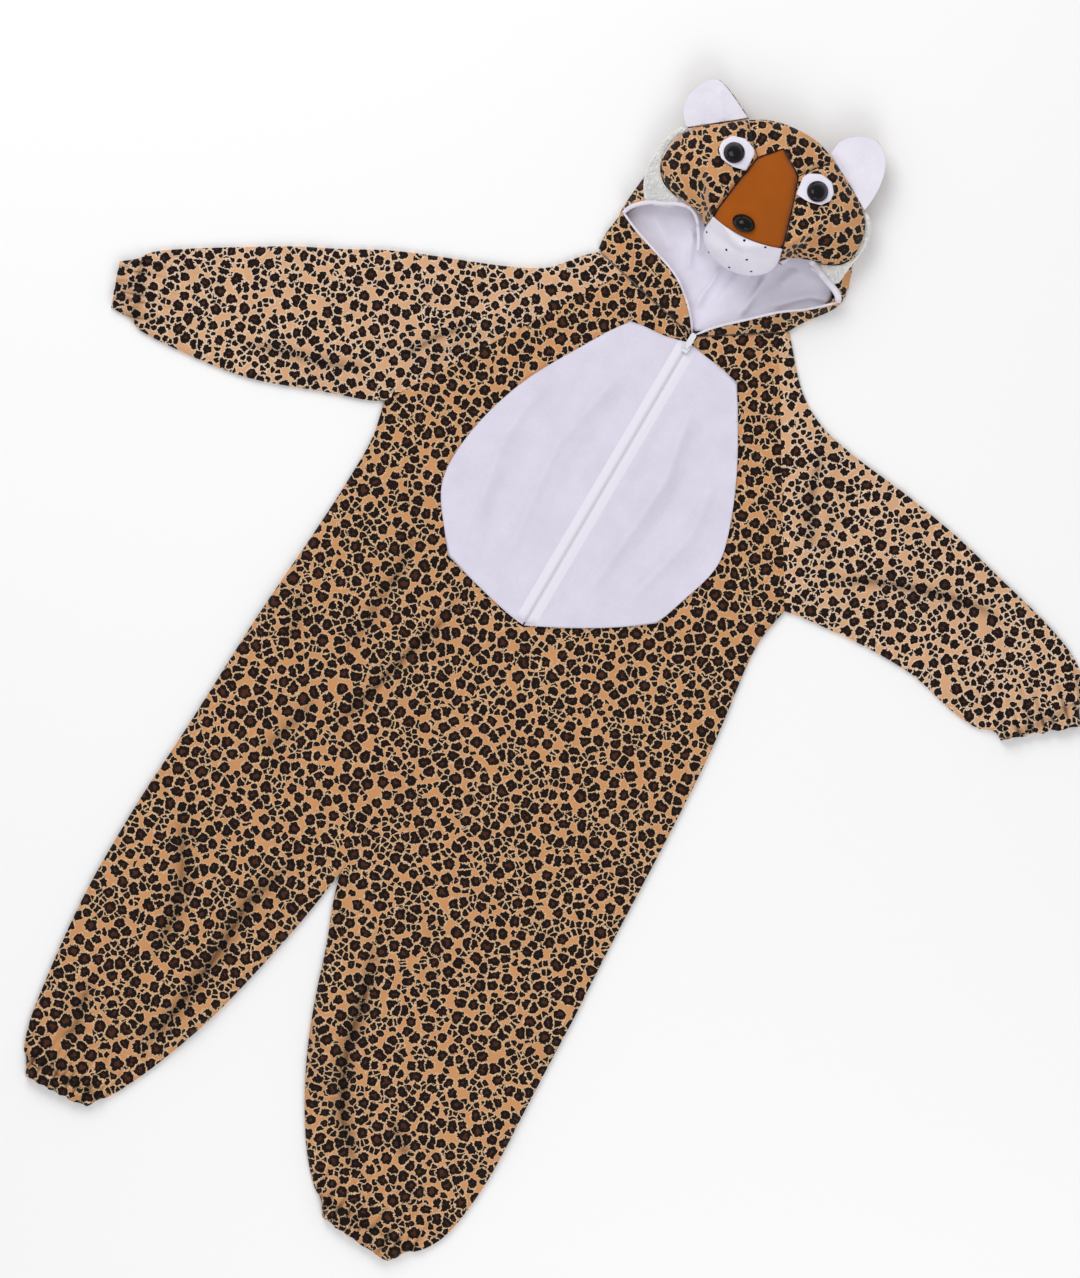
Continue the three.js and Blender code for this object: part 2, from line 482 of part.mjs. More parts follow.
// Two stacks of rings that share their number of points, each closed by a point in its middle
function fan(top, bottom, topPole, bottomPole, count, rings, sharedRim = false) {
  const points = [...top, ...bottom, topPole, bottomPole];
  const faces = [];
  const at = (side, k, i) => (sharedRim && k === rings - 1 ? 0 : side * count * rings) + k * count + (i % count);
  const [tp, bp] = [top.length + bottom.length, top.length + bottom.length + 1];
  for (let i = 0; i < count; i++) {
    faces.push(tp, at(0, 0, i), at(0, 0, i + 1), bp, at(1, 0, i + 1), at(1, 0, i));
    for (let k = 0; k + 1 < rings; k++) {
      faces.push(at(0, k, i), at(0, k + 1, i), at(0, k + 1, i + 1), at(0, k, i), at(0, k + 1, i + 1), at(0, k, i + 1));
      faces.push(at(1, k, i), at(1, k + 1, i + 1), at(1, k + 1, i), at(1, k, i), at(1, k, i + 1), at(1, k + 1, i + 1));
    }
    if (!sharedRim) {
      const last = rings - 1;
      faces.push(at(0, last, i), at(1, last, i), at(1, last, i + 1), at(0, last, i), at(1, last, i + 1), at(0, last, i + 1));
    }
  }
  const used = [...new Set(faces)].sort((a, b) => a - b);
  const place = new Map(used.map((old, i) => [old, i]));
  return closed(used.map((i) => points[i]), faces.map((i) => place.get(i)));
}

// Evenly spaced points on a smooth line through a few given ones
const along = (points, steps) => new THREE.CatmullRomCurve3(points.map((p) => v3(...p))).getSpacedPoints(steps);
// A closed rim from stretches of line that follow on from each other
const rimOf = (...stretches) => stretches.flatMap((s) => s.slice(0, -1));

// A stuffed piece on the head's flat underside: its rim has heights, and its middle stands at `mid` plus `puff`.
// `tuck` is how far up its edge is turned in below.
function pillow({ rim, x, y, mid, puff, tuck, rings = 5 }) {
  const [top, bottom] = [[], []];
  for (let k = 1; k <= rings; k++) {
    const r = Math.sin((k / rings) * (Math.PI / 2));
    for (const p of rim) {
      const away = Math.hypot(p.x - x, p.y - y);
      const keep = ((away - GAP / 2) / away) * r;
      const [px, py] = [x + (p.x - x) * keep, y + (p.y - y) * keep];
      top.push(v3(px, py, mid * (1 - r) + p.z * r + puff * Math.sqrt(Math.max(0, 1 - r * r))));
      bottom.push(v3(px, py, BASE_Z + tuck * (p.z - BASE_Z) * r ** 4));
    }
  }
  return fan(top, bottom, v3(x, y, mid + puff), v3(x, y, BASE_Z), rim.length, rings);
}

// The height of a stuffed piece's upper face above a place
function pillowTop({ rim, x, y, mid, puff }, px, py) {
  const away = Math.hypot(px - x, py - y);
  if (away < 1e-6) return mid + puff;
  const [ux, uy] = [(px - x) / away, (py - y) / away];
  let hit = { reach: 1e9, z: mid };
  rim.forEach((p, i) => {
    const q = rim[(i + 1) % rim.length];
    const [ex, ey] = [q.x - p.x, q.y - p.y];
    const det = ux * ey - uy * ex;
    if (Math.abs(det) < 1e-9) return;
    const reach = ((p.x - x) * ey - (p.y - y) * ex) / det;
    const t = ((p.x - x) * uy - (p.y - y) * ux) / det;
    if (reach > 0 && t >= -1e-6 && t <= 1 + 1e-6 && reach < hit.reach) hit = { reach, z: p.z + (q.z - p.z) * t };
  });
  const r = Math.min(1, away / hit.reach);
  return mid * (1 - r) + hit.z * r + puff * Math.sqrt(1 - r * r);
}

function mesh(name, geometry, cloth) {
  const made = new THREE.Mesh(geometry, new THREE.MeshStandardMaterial({ ...CLOTHS[cloth], metalness: 0, side: THREE.DoubleSide }));
  made.name = name;
  return made;
}

// One side of the hood: the wall runs along the floor, round the folded edge and back over the front to the rim of the mouth.
const HOOD_ROLL = 5;
function hoodSide(table) {
  const [outer, inner] = [[], []];
  for (const r of table) {
    const floor = sectionLine([r.backX, r.backY], [r.edgeX, r.edgeY]);
    const front = sectionLine([r.edgeX, r.edgeY], [r.rimX, r.rimY]);
    const below = [0, floor.width * 0.33, floor.width * 0.66, floor.width - 8, floor.width - UNDER_ROLL, floor.width - UNDER_ROLL / 2, floor.width - 0.4];
    const curl = (d) => underCurl(floor.width - d);
    const frontTop = (d) => {
      const t = THREE.MathUtils.clamp((d - 2) / (front.width - 2), 0, 1);
      return SEAM_Z + rounded(d, HOOD_ROLL) * (FLAT_TOP + 0.6 - SEAM_Z) + (r.rimZ - FLAT_TOP - 0.6) * Math.sin((t * Math.PI) / 2);
    };
    const above = [0, 0.67, 2.5, HOOD_ROLL, ...[0.25, 0.5, 0.75, 1].map((t) => HOOD_ROLL + (front.width - HOOD_ROLL) * t)];
    const insetFloor = (d) => (floor.width - d < UNDER_ROLL ? floor.width - insetAt(floor.width - d, true, UNDER_ROLL) : d);
    outer.push([...below.map((d) => onLine(floor, d, () => curl(d))), ...above.map((d) => onLine(front, d, () => frontTop(d)))]);
    inner.push([
      ...below.map((d) => onLine(floor, insetFloor(d), () => curl(insetFloor(d)) + CLOTH)),
      ...above.map((d) => {
        const inset = insetAt(d, true, HOOD_ROLL);
        return onLine(front, inset, () => Math.max(frontTop(inset) - CLOTH, CLOTH + 0.7));
      }),
    ]);
  }
  shiftEnds(outer);
  shiftEnds(inner);
  return wall(outer, inner);
}

function lining() {
  const rim = new THREE.CatmullRomCurve3(LINING_RIM.map((p) => v3(...p)), true).getSpacedPoints(28).slice(0, -1);
  const [top, bottom] = [[], []];
  const rings = 4;
  for (let k = 1; k <= rings; k++) {
    const r = k / rings;
    for (const p of rim) {
      const z = LINING.low + (p.z - LINING.low) * r ** 3;
      const [x, y] = [LINING.x + (p.x - LINING.x) * r, LINING.y + (p.y - LINING.y) * r];
      top.push(v3(x, y, z));
      bottom.push(v3(x, y, z - LINING.thick));
    }
  }
  return fan(top, bottom, v3(LINING.x, LINING.y, LINING.low), v3(LINING.x, LINING.y, LINING.low - LINING.thick), rim.length, rings);
}

const suit = new THREE.Group();

// Body, legs, sleeves and cuffs
for (const [side, body, arm] of [["left", bodyLeft, sleeveLeft], ["right", bodyRight, sleeveRight]]) {
  suit.add(mesh(`front_${side}`, frontPanel(body), "plush"));
  suit.add(mesh(`back_${side}`, backPanel(body), "plush"));
  suit.add(mesh(`sleeve_${side}`, sleeve(arm), "plush"));
}
for (const cuff of CUFFS) {
  suit.add(mesh(`${cuff.name}_casing_front`, casing(cuff, true), "plush"));
  suit.add(mesh(`${cuff.name}_casing_back`, casing(cuff, false), "plush"));
}

// Belly: a white piece on each side of the zip
const alongZip = (x) => Array.from({ length: 8 }, (_, i) => [x, -302 + (304 * (i + 1)) / 9]);
suit.add(mesh("belly_left", applique([...BELLY_LEFT, ...alongZip(-0.8)], [-60, -165], clothTop, BELLY_THICK, 6), "white"));
suit.add(mesh("belly_right", applique([...BELLY_RIGHT, ...alongZip(0.8)], [56, -165], clothTop, BELLY_THICK, 6), "white"));

// Zip: each tape follows the belly under it.
const zipRows = Array.from({ length: 11 }, (_, i) => ZIP.top + ((ZIP.bottom - ZIP.top) * i) / 10);
const zipBase = (y) => Math.max(clothTop(-8, y), clothTop(8, y)) + 1 + BELLY_THICK;
function zipStrip(from, to, thick) {
  const line = (z) => zipRows.map((y) => [from, to].map((x) => v3(x, y, zipBase(y) + z)));
  return wall(line(thick), line(0));
}
suit.add(mesh("zip_tape_left", zipStrip(-ZIP.tape, -ZIP.coil / 2 - GAP, ZIP.thick), "zip"));
suit.add(mesh("zip_tape_right", zipStrip(ZIP.coil / 2 + GAP, ZIP.tape, ZIP.thick), "zip"));
suit.add(mesh("zip_coil", zipStrip(-ZIP.coil / 2, ZIP.coil / 2, ZIP.coilHigh), "zip"));

// Slider with two lugs, and the pull tab that turns between them and lies up over the neck
function plate(points, from, to, radius = 0) {
  const shape = new THREE.Shape(points.map(([x, y]) => new THREE.Vector2(x, y)));
  const bevel = radius ? { bevelEnabled: true, bevelSize: radius, bevelThickness: radius, bevelOffset: -radius, bevelSegments: 2 } : { bevelEnabled: false };
  const made = new THREE.ExtrudeGeometry(shape, { depth: to - from - 2 * radius, ...bevel });
  made.translate(0, 0, from + radius);
  return made;
}
const rodX = (length, radius, x, y, z) => {
  const made = new THREE.CylinderGeometry(radius, radius, length, 12);
  made.rotateZ(Math.PI / 2);
  made.translate(x, y, z);
  return made;
};
const wasm = await Module();
wasm.setup();
function solid(geometry) {
  const bare = new THREE.BufferGeometry().setAttribute("position", geometry.getAttribute("position"));
  if (geometry.index) bare.setIndex(geometry.index);
  const merged = mergeVertices(bare, 1e-4);
  return new wasm.Manifold(new wasm.Mesh({ numProp: 3, vertProperties: merged.attributes.position.array, triVerts: new Uint32Array(merged.index ? merged.index.array : [...Array(merged.attributes.position.count).keys()]) }));
}
function geometryOf(made) {
  const m = made.getMesh();
  const points = new Float32Array(m.numVert * 3);
  for (let i = 0; i < m.numVert; i++) points.set(m.vertProperties.subarray(i * m.numProp, i * m.numProp + 3), i * 3);
  return new THREE.BufferGeometry().setAttribute("position", new THREE.BufferAttribute(points, 3)).setIndex(new THREE.BufferAttribute(m.triVerts, 1));
}
const sliderZ = zipBase(SLIDER.y) + ZIP.coilHigh + 0.5;
const pinZ = sliderZ + SLIDER.high + 0.9;
const pinY = SLIDER.y - SLIDER.pinDown;
const sliderShape = [[-3.6, 0], [-2.2, 1.6], [2.2, 1.6], [3.6, 0], [2.9, -SLIDER.long], [-2.9, -SLIDER.long]].map(([x, y]) => [x, y + SLIDER.y]);
const lug = (x) => solid(plate([[-1.2, -1.4], [1.2, -1.4], [1.2, 1.2], [-1.2, 1.2]].map(([a, b]) => [a / 2.4 + x, b + pinY]), sliderZ + SLIDER.high - 0.3, pinZ + 1.1));
suit.add(mesh("zip_slider", geometryOf(wasm.Manifold.union([solid(plate(sliderShape, sliderZ, sliderZ + SLIDER.high, 0.5)), lug(-2.9), lug(2.9)])), "slider"));
const tabShape = [[1.4, 0], [-1.4, 0], [-1.8, 2.5], [-TAB.wide / 2, 5], [-TAB.wide / 2, TAB.long - 2], [-1.8, TAB.long], [1.8, TAB.long], [TAB.wide / 2, TAB.long - 2], [TAB.wide / 2, 5], [1.8, 2.5]].map(([x, y]) => [x, y + pinY]);
suit.add(mesh("zip_pull", geometryOf(wasm.Manifold.union([solid(plate(tabShape, pinZ - TAB.thick / 2, pinZ + TAB.thick / 2)), solid(rodX(4.4, TAB.pin, 0, pinY, pinZ))])), "slider"));

// Hood
suit.add(mesh("hood_left", hoodSide(HOOD_LEFT), "plush"));
suit.add(mesh("hood_right", hoodSide(HOOD_RIGHT), "plush"));
suit.add(mesh("hood_lining", lining(), "lining"));

// Head, in its own axes
const head = new THREE.Group();
head.position.set(HEAD.x, HEAD.y, 0);
head.rotation.z = HEAD.turn;
suit.add(head);
const bridgeSide = along(BRIDGE_SIDE, 5);
const browSeam = along([BROW_END, SHOULDER], 3);
const chinSeam = along([CORNER, CHEEK_TIP], 2);
const mirror = (line) => line.map((p) => v3(-p.x, p.y, p.z)).reverse();
const cheek = { rim: rimOf(along(CHEEK_EDGE, 14), browSeam, bridgeSide, chinSeam), x: 62, y: -22, mid: 44, puff: 12, tuck: 0.4 };
const otherCheek = { ...cheek, rim: mirror(cheek.rim), x: -cheek.x };
const forehead = { rim: rimOf(along(FOREHEAD_EDGE, 8), mirror(browSeam).reverse(), along([mirrored(SHOULDER), APEX], 2), along([APEX, SHOULDER], 2), browSeam.slice().reverse()), x: 0, y: 34, mid: 32, puff: 7, tuck: 0.4, rings: 4 };
const bridge = { rim: rimOf(along([APEX, SHOULDER], 2), bridgeSide, along(BRIDGE_FOOT, 6), mirror(bridgeSide), along([mirrored(SHOULDER), APEX], 2)), x: 0, y: -24, mid: 56, puff: 6, tuck: 0.2 };
const muzzle = { rim: rimOf(along(MUZZLE_FRONT, 10), mirror(chinSeam), along(BRIDGE_FOOT, 6).reverse(), chinSeam), x: 0, y: -82, mid: 58, puff: 12, tuck: 0.5 };
head.add(mesh("cheek_right", pillow(cheek), "plush"));
head.add(mesh("cheek_left", pillow(otherCheek), "plush"));
head.add(mesh("forehead", pillow(forehead), "plush"));
head.add(mesh("bridge", pillow(bridge), "tan"));
head.add(mesh("muzzle", pillow(muzzle), "white"));

// Eye patches and eyes
const oval = (x, y, long, wide, count) => Array.from({ length: count }, (_, i) => [x + long * Math.cos((2 * Math.PI * i) / count), y + wide * Math.sin((2 * Math.PI * i) / count)]);
const PATCH_LIFT = 1.4;
for (const [side, way, piece] of [["right", 1, cheek], ["left", -1, otherCheek]]) {
  const under = (x, y) => pillowTop(piece, x, y);
  const patch = EYE_PATCH.flatMap(([x, y], i) => [[x, y], EYE_PATCH[(i + 1) % EYE_PATCH.length].map((v, j) => (v + [x, y][j]) / 2)]).map(([x, y]) => [way * x, y]);
  head.add(mesh(`eye_patch_${side}`, applique(way > 0 ? patch : patch.reverse(), [way * 41.5, 0], under, 1.4, 3, PATCH_LIFT), "white"));
  const dome = (r) => 0.8 + EYE.rise * Math.sqrt(Math.max(0, 1 - r * r));
  head.add(mesh(`eye_${side}`, applique(oval(way * EYE.x, EYE.y, EYE.radius, EYE.radius, 18), [way * EYE.x, EYE.y], under, dome, 4, PATCH_LIFT + 1.4 + 0.6), "eye"));
}
head.add(mesh("nose", applique(oval(NOSE.x, NOSE.y, NOSE.long, NOSE.wide, 18), [NOSE.x, NOSE.y], (x, y) => pillowTop(bridge, x, y), (r) => 1 + NOSE.rise * Math.sqrt(Math.max(0, 1 - r * r)), 4, 1.2), "nose"));

// Ears: a plush back and a white front, a little cupped, with their straight base along the head's edge
for (const [side, points] of [["right", EAR_RIGHT], ["left", EAR_LEFT]]) {
  const curve = along(points.map(([x, y]) => [x, y, 0]), 12);
  const base = along([curve[12], curve[0]].map((p) => [p.x, p.y, 0]), 4);
  const rim = rimOf(curve, base).map((p) => [p.x, p.y]);
  const middle = [(curve[0].x + curve[12].x) / 2, (curve[0].y + curve[12].y) / 2].map((v, i) => v + 0.42 * ([curve[6].x, curve[6].y][i] - v));
  const stand = (x, y) => EAR_Z + 0.0022 * ((x - middle[0]) ** 2 + (y - middle[1]) ** 2);
  const smaller = rim.map(([x, y]) => [middle[0] + (x - middle[0]) * 0.98, middle[1] + (y - middle[1]) * 0.98]);
  head.add(mesh(`ear_back_${side}`, applique(rim, middle, stand, CLOTH, 3, 0), "plush"));
  head.add(mesh(`ear_front_${side}`, applique(smaller, middle, stand, 1.8, 3, CLOTH + GAP), "white"));
}

// Long-pile bands round the cheeks
for (const [side, way, points] of [["right", 1, FUR_RIGHT], ["left", -1, FUR_LEFT]]) {
  const outerLine = along(points, 12);
  const innerLine = along(CHEEK_EDGE.slice(2, 7).map(([x, y]) => [way * (x + 1.2), y - 0.6, FUR_Z]), 12);
  const rows = innerLine.map((p, i) => [0, 0.5, 1].map((t) => p.clone().lerp(outerLine[i], t)));
  const raised = rows.map((row) => row.map((p, i) => v3(p.x, p.y, p.z + (i === 1 ? 1.2 : 0))));
  head.add(mesh(`fur_band_${side}`, wall(raised, rows.map((row) => row.map((p) => v3(p.x, p.y, p.z - FUR_THICK)))), "fur"));
}

// The row's frame: its origin is under the middle of the whole part.
suit.updateMatrixWorld(true);
const bounds = new THREE.Box3().setFromObject(suit, true);
suit.position.set(-(bounds.min.x + bounds.max.x) / 2, -(bounds.min.y + bounds.max.y) / 2, -bounds.min.z);

export default suit;
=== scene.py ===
"""A child's cheetah costume, a plush jumpsuit laid out flat on its back, with an animal's face sewn to its hood.

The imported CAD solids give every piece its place, outline and large folds. This script refines the cloth, presses the
finer creases and gathers into it, and adds the rolled hem of the hood's mouth, the dots of the muzzle and the tufts of
the long-pile bands.
Lengths in the tables are millimetres on the costume: x to the right of the zip, y up from its top end.
"""
import math
import random

import bmesh
import bpy
import numpy as np
from mathutils import Matrix, Vector, noise
from mathutils.bvhtree import BVHTree


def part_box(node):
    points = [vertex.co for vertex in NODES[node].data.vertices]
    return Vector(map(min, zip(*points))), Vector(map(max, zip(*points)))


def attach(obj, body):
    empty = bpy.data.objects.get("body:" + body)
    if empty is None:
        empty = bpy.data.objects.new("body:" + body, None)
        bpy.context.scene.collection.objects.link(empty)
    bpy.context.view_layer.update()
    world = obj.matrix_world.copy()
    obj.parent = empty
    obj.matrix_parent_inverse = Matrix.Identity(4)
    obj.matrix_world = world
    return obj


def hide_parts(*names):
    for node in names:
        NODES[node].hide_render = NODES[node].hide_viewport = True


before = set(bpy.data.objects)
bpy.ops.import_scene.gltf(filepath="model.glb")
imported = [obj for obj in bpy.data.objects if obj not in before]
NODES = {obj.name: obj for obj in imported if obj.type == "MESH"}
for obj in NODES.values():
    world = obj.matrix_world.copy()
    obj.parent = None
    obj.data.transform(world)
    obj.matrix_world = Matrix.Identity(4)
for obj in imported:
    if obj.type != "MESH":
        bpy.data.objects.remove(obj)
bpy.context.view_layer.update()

MM = 1000  # millimetres in one of the part's metres

# The costume's own zero, the top of the zip, in millimetres in the part's frame. The coil starts 4 mm above it.
coil_low, coil_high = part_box("zip_coil")
ZIP_TOP = ((coil_low.x + coil_high.x) / 2 * MM, coil_high.y * MM - 4)

# ---------------------------------------------------------------- colours

TAN = "cc9262"  # ground of the print
CREAM = "dab690"  # paler ring round each spot
SLEEVE_TAN = "d6a67e"  # the sleeves' pile lies to the light, so their ground is paler
SLEEVE_CREAM = "e6c9ae"
SPOT_EDGE = "170c09"
SPOT_HEART = "4b281c"
WHITE = "dcd8e8"
# the lining's own white, painted a little lighter: painted light against the shade that the muzzle and cheeks cast over
# it
LIT_LINING_WHITE = "e5e1f0"
PILE_WHITE = "f5f5f4"
# the belly's white velboa, painted lighter for the face: painted light against the shade on the muzzle
LIT_FACE_WHITE = "ebe8f5"
HEM_WHITE = "e6e2ef"
BRIDGE_TAN = "a1520c"
EYE_BLACK = "0d0e14"
EYE_RING = "231e26"
TAPE_WHITE = "e9e6f2"
# the white nylon coil, painted grey: painted shade between its meshing teeth
COIL_SHADE_GREY = "d3d1db"
SLIDER_WHITE = "e4e4ea"
NOSE_BLACK = "060607"
THREAD_BLACK = "1c1a22"
FLOOR = "fbfbfc"

# ---------------------------------------------------------------- creases, hems and cuts

# Each crease runs through its points. Its depth is down into the cloth, and a negative one is a ridge. Its reach is how
# far to each side it goes.
CREASES = [
    {"depth": 3.0, "reach": 4, "line": [
        (-63, -306), (-67, -340), (-76, -369), (-84, -400), (-92, -431), (-98, -452), (-100, -488)
    ]},
    {"depth": 2.2, "reach": 6, "line": [(-129, -279), (-125, -312), (-127, -349), (-127, -380), (-129, -413)]},
    {"depth": 2.0, "reach": 6, "line": [(-195, -379), (-181, -412), (-186, -431)]},
    {"depth": 2.0, "reach": 6, "line": [(-131, -453), (-139, -492), (-152, -534)]},
    {"depth": 4.0, "reach": 6, "line": [
        (-74, -593), (-79, -621), (-90, -653), (-90, -700), (-92, -729), (-96, -769), (-100, -795), (-106, -817),
        (-109, -835)
    ]},
    {"depth": 2.6, "reach": 8, "line": [
        (-189, -604), (-175, -631), (-158, -656), (-145, -695), (-141, -725), (-139, -753)
    ]},
    {"depth": 2.6, "reach": 6, "line": [(-182, -787), (-174, -817), (-169, -838), (-181, -857)]},
    {"depth": 4.0, "reach": 6, "line": [
        (26, -615), (39, -648), (48, -677), (58, -723), (67, -746), (85, -779), (110, -807), (131, -824)
    ]},
    {"depth": -2.2, "reach": 7, "line": [(28, -712), (54, -754), (68, -775), (82, -809)]},
    {"depth": 2.4, "reach": 7, "line": [(125, -759), (161, -786)]},
    {"depth": -2.4, "reach": 7, "line": [(63, -570), (78, -596), (89, -624), (106, -654)]},
    {"depth": 2.2, "reach": 6, "line": [(153, -7), (160, -32), (170, -62), (184, -88), (200, -112)]},
    {"depth": 2.8, "reach": 5, "line": [(216, -128), (262, -101), (282, -94), (320, -81), (366, -72), (392, -79)]},
    {"depth": 2.4, "reach": 5, "line": [(-226, -150), (-205, -112), (-178, -80)]},
    {"depth": 2.2, "reach": 5, "line": [(-360, -212), (-320, -196), (-280, -186), (-240, -168)]},
    # the belly's soft lengthwise drag
    {"depth": -2.6, "reach": 13, "line": [(-38, -40), (-58, -140), (-44, -270)]},
    {"depth": -2.0, "reach": 12, "line": [(-96, -90), (-104, -160), (-88, -240)]},
    {"depth": -3.0, "reach": 12, "line": [(30, -36), (46, -120), (36, -260)]},
    {"depth": -2.2, "reach": 12, "line": [(84, -90), (92, -150), (72, -240)]},
]
LINING_CREASES = [
    {"depth": -3.4, "reach": 4.5, "line": [(30, 108), (30, 84), (29, 64), (27, 44)]},
    {"depth": -1.6, "reach": 4, "line": [(52, 112), (47, 92)]},
    {"depth": -2.6, "reach": 4.5, "line": [(48, 68), (60, 82), (74, 96), (94, 103)]},
    {"depth": -2.8, "reach": 5, "line": [(-12, 80), (-10, 64), (-12, 46), (-11, 30)]},
    {"depth": -2.6, "reach": 4.5, "line": [(-52, 96), (-46, 84), (-40, 70), (-34, 58)]},
    {"depth": -1.8, "reach": 9, "line": [(10, 100), (6, 70), (2, 40)]},
    {"depth": -1.8, "reach": 7, "line": [(-92, 88), (-72, 78), (-56, 66)]},
]
EAR_CREASES = [
    {"depth": -1.2, "reach": 7, "line": [(-95, 222), (-86, 208), (-73, 194)]},
    {"depth": 1.0, "reach": 5, "line": [(24, 221), (44, 212), (62, 197)]},
]
# Gathered cuffs: the elastic's two ends, the way up the limb, and the gathers across it
GATHERS = [
    {"ends": [(-113, -882), (-199, -882)], "up": (0.0, 1.0), "waves": 10},
    {"ends": [(104, -858), (208, -858)], "up": (0.0, 1.0), "waves": 10},
    {"ends": [(-480, -184), (-457, -246)], "up": (0.9275, 0.3737), "waves": 7},
    {"ends": [(486, -98), (424, -166)], "up": (-0.85, 0.52), "waves": 8},
]
# The rolled hem round the hood's mouth, with heights: a thin one below and a fuller one above
HEMS = {
    "lower_left": {"thick": 1.2, "line": [
        (-1.5, 10.4, 8.2), (-10, 22.5, 13.2), (-24, 36.5, 17.2), (-42, 49.5, 20.2), (-64, 57.5, 20.2),
        (-90, 65.5, 19.2), (-104, 71, 18.0), (-113.5, 75.2, 17.0)
    ]},
    "upper_left": {"thick": 2.1, "line": [
        (-114, 75.4, 16.8), (-111.5, 82, 18.2), (-105, 90, 20), (-96, 97, 21.6), (-88, 100.5, 22.2), (-74, 108, 22.2),
        (-62, 110.5, 21.6), (-52, 105, 20.8), (-45, 96, 18.5), (-40, 88, 15), (-36, 80, 11)
    ]},
    "lower_right": {"thick": 1.2, "line": [
        (1.5, 12, 8.4), (14, 27.5, 13.2), (36, 48.5, 18.2), (57, 68.5, 20.2), (76, 82.5, 19.2), (88, 93, 18.2),
        (99, 103.5, 16.8)
    ]},
    "upper_right": {"thick": 3.2, "line": [
        (100.5, 104.6, 16.8), (97, 109.5, 18.8), (90, 113.5, 20.6), (77, 118, 22.2), (64, 123.5, 22.4),
        (52, 126.5, 22.0), (43.5, 124.5, 21.4), (38, 117, 20.6), (34.5, 107, 19.4)
    ]},
}
DOT_RADIUS = 1.25
WELL_ABOVE = 200  # over every piece
MUZZLE_DOTS = [(-38, 98.5), (-27, 83.5), (-14, 93.4), (-4, 109), (16, 113.5), (7, 95), (-3.5, 81), (16, 88)]

# ---------------------------------------------------------------- materials

PRINT_MAP = "print"
PAINTED_SHADE_ATTRIBUTE = "painted_crease_shade"  # painted shade: how far each place of pressed cloth is shut away in a crease or between gathers, from 0 to 1, which darkens its colour
SMOOTH = {"interpolation_type": "SMOOTHSTEP"}
COLOURS = {"data_type": "RGBA"}
PLASTIC_IOR = 1.49


def linear(code):
    """An sRGB hex value as an opaque linear colour."""
    parts = [int(code[i : i + 2], 16) / 255 for i in (0, 2, 4)]
    return (*(p / 12.92 if p <= 0.04045 else ((p + 0.055) / 1.055) ** 2.4 for p in parts), 1.0)


def add(tree, kind, links, out=0, **settings):
    """Adds one node, with its inputs linked or set, and gives back its output `out`."""
    made = tree.nodes.new("ShaderNode" + kind)
    for name, value in settings.items():
        setattr(made, name, value)
    for name, value in links.items():
        socket = made.inputs[name]
        if isinstance(value, bpy.types.NodeSocket):
            tree.links.new(value, socket)
        else:
            socket.default_value = value
    return made.outputs[out] if made.outputs else None


def principled(tree, inputs):
    """The material's one shader, with its inputs linked or set."""
    add(tree, "OutputMaterial", {"Surface": add(tree, "BsdfPrincipled", inputs)})


def new_material(name):
    material = bpy.data.materials.new(name)
    material.use_nodes = True
    tree = material.node_tree
    tree.nodes.clear()
    return material, tree


def plush_finish(tree, colour, nap_mm, nap_height, sheen):
    """Short pile: soft and matt, with a pale edge where it is seen along the nap, and painted shade, a darker colour,
    where a crease closes over it."""
    place = add(tree, "TexCoord", {}, "Object")
    nap = add(tree, "TexNoise", {"Vector": place, "Scale": MM / nap_mm, "Detail": 3.0, "Roughness": 0.6}, "Fac")
    # faint patches, some 20 mm wide, where the pile is stroked another way
    stroked = add(tree, "TexNoise", {"Vector": place, "Scale": 45.0, "Detail": 2.0}, "Fac")
    shade = add(tree, "Math", {0: stroked, 1: 0.16, 2: 0.81}, operation="MULTIPLY_ADD")
    shade = add(tree, "Math", {0: nap, 1: 0.22, 2: shade}, operation="MULTIPLY_ADD")
    # painted shade: the colour is darkened by up to 0.8 where a crease or gather closes over the pile
    painted_crease_shade = add(tree, "Attribute", {}, "Fac", attribute_name=PAINTED_SHADE_ATTRIBUTE)
    unshaded_share = add(tree, "Math", {0: painted_crease_shade, 1: -0.8, 2: 1.0}, operation="MULTIPLY_ADD")
    shade = add(tree, "Math", {0: shade, 1: unshaded_share}, operation="MULTIPLY")
    tinted = add(tree, "Mix", {0: 1.0, 6: colour, 7: shade}, 2, blend_type="MULTIPLY", **COLOURS)
    bump = add(tree, "Bump", {"Strength": 0.5, "Distance": nap_height / MM, "Height": nap})
    finish = {"Roughness": 0.9, "Sheen Weight": sheen, "Sheen Roughness": 0.5, "Specular IOR Level": 0.15}
    principled(tree, {"Base Color": tinted, "Normal": bump, **finish})


# The print's two layers, in millimetres before a cloth's own scale: the spacing of the spots, their least and most half
# widths, and the share of the places that have a spot
LARGE_SPOTS = {"spacing": 16.5, "least": 4.2, "most": 7.0, "kept": 0.92}
SMALL_SPOTS = {"spacing": 8.4, "least": 2.5, "most": 4.1, "kept": 1.0}
LEFT_OUT = 50.0  # a spot that is left out is sunk this far below the ground


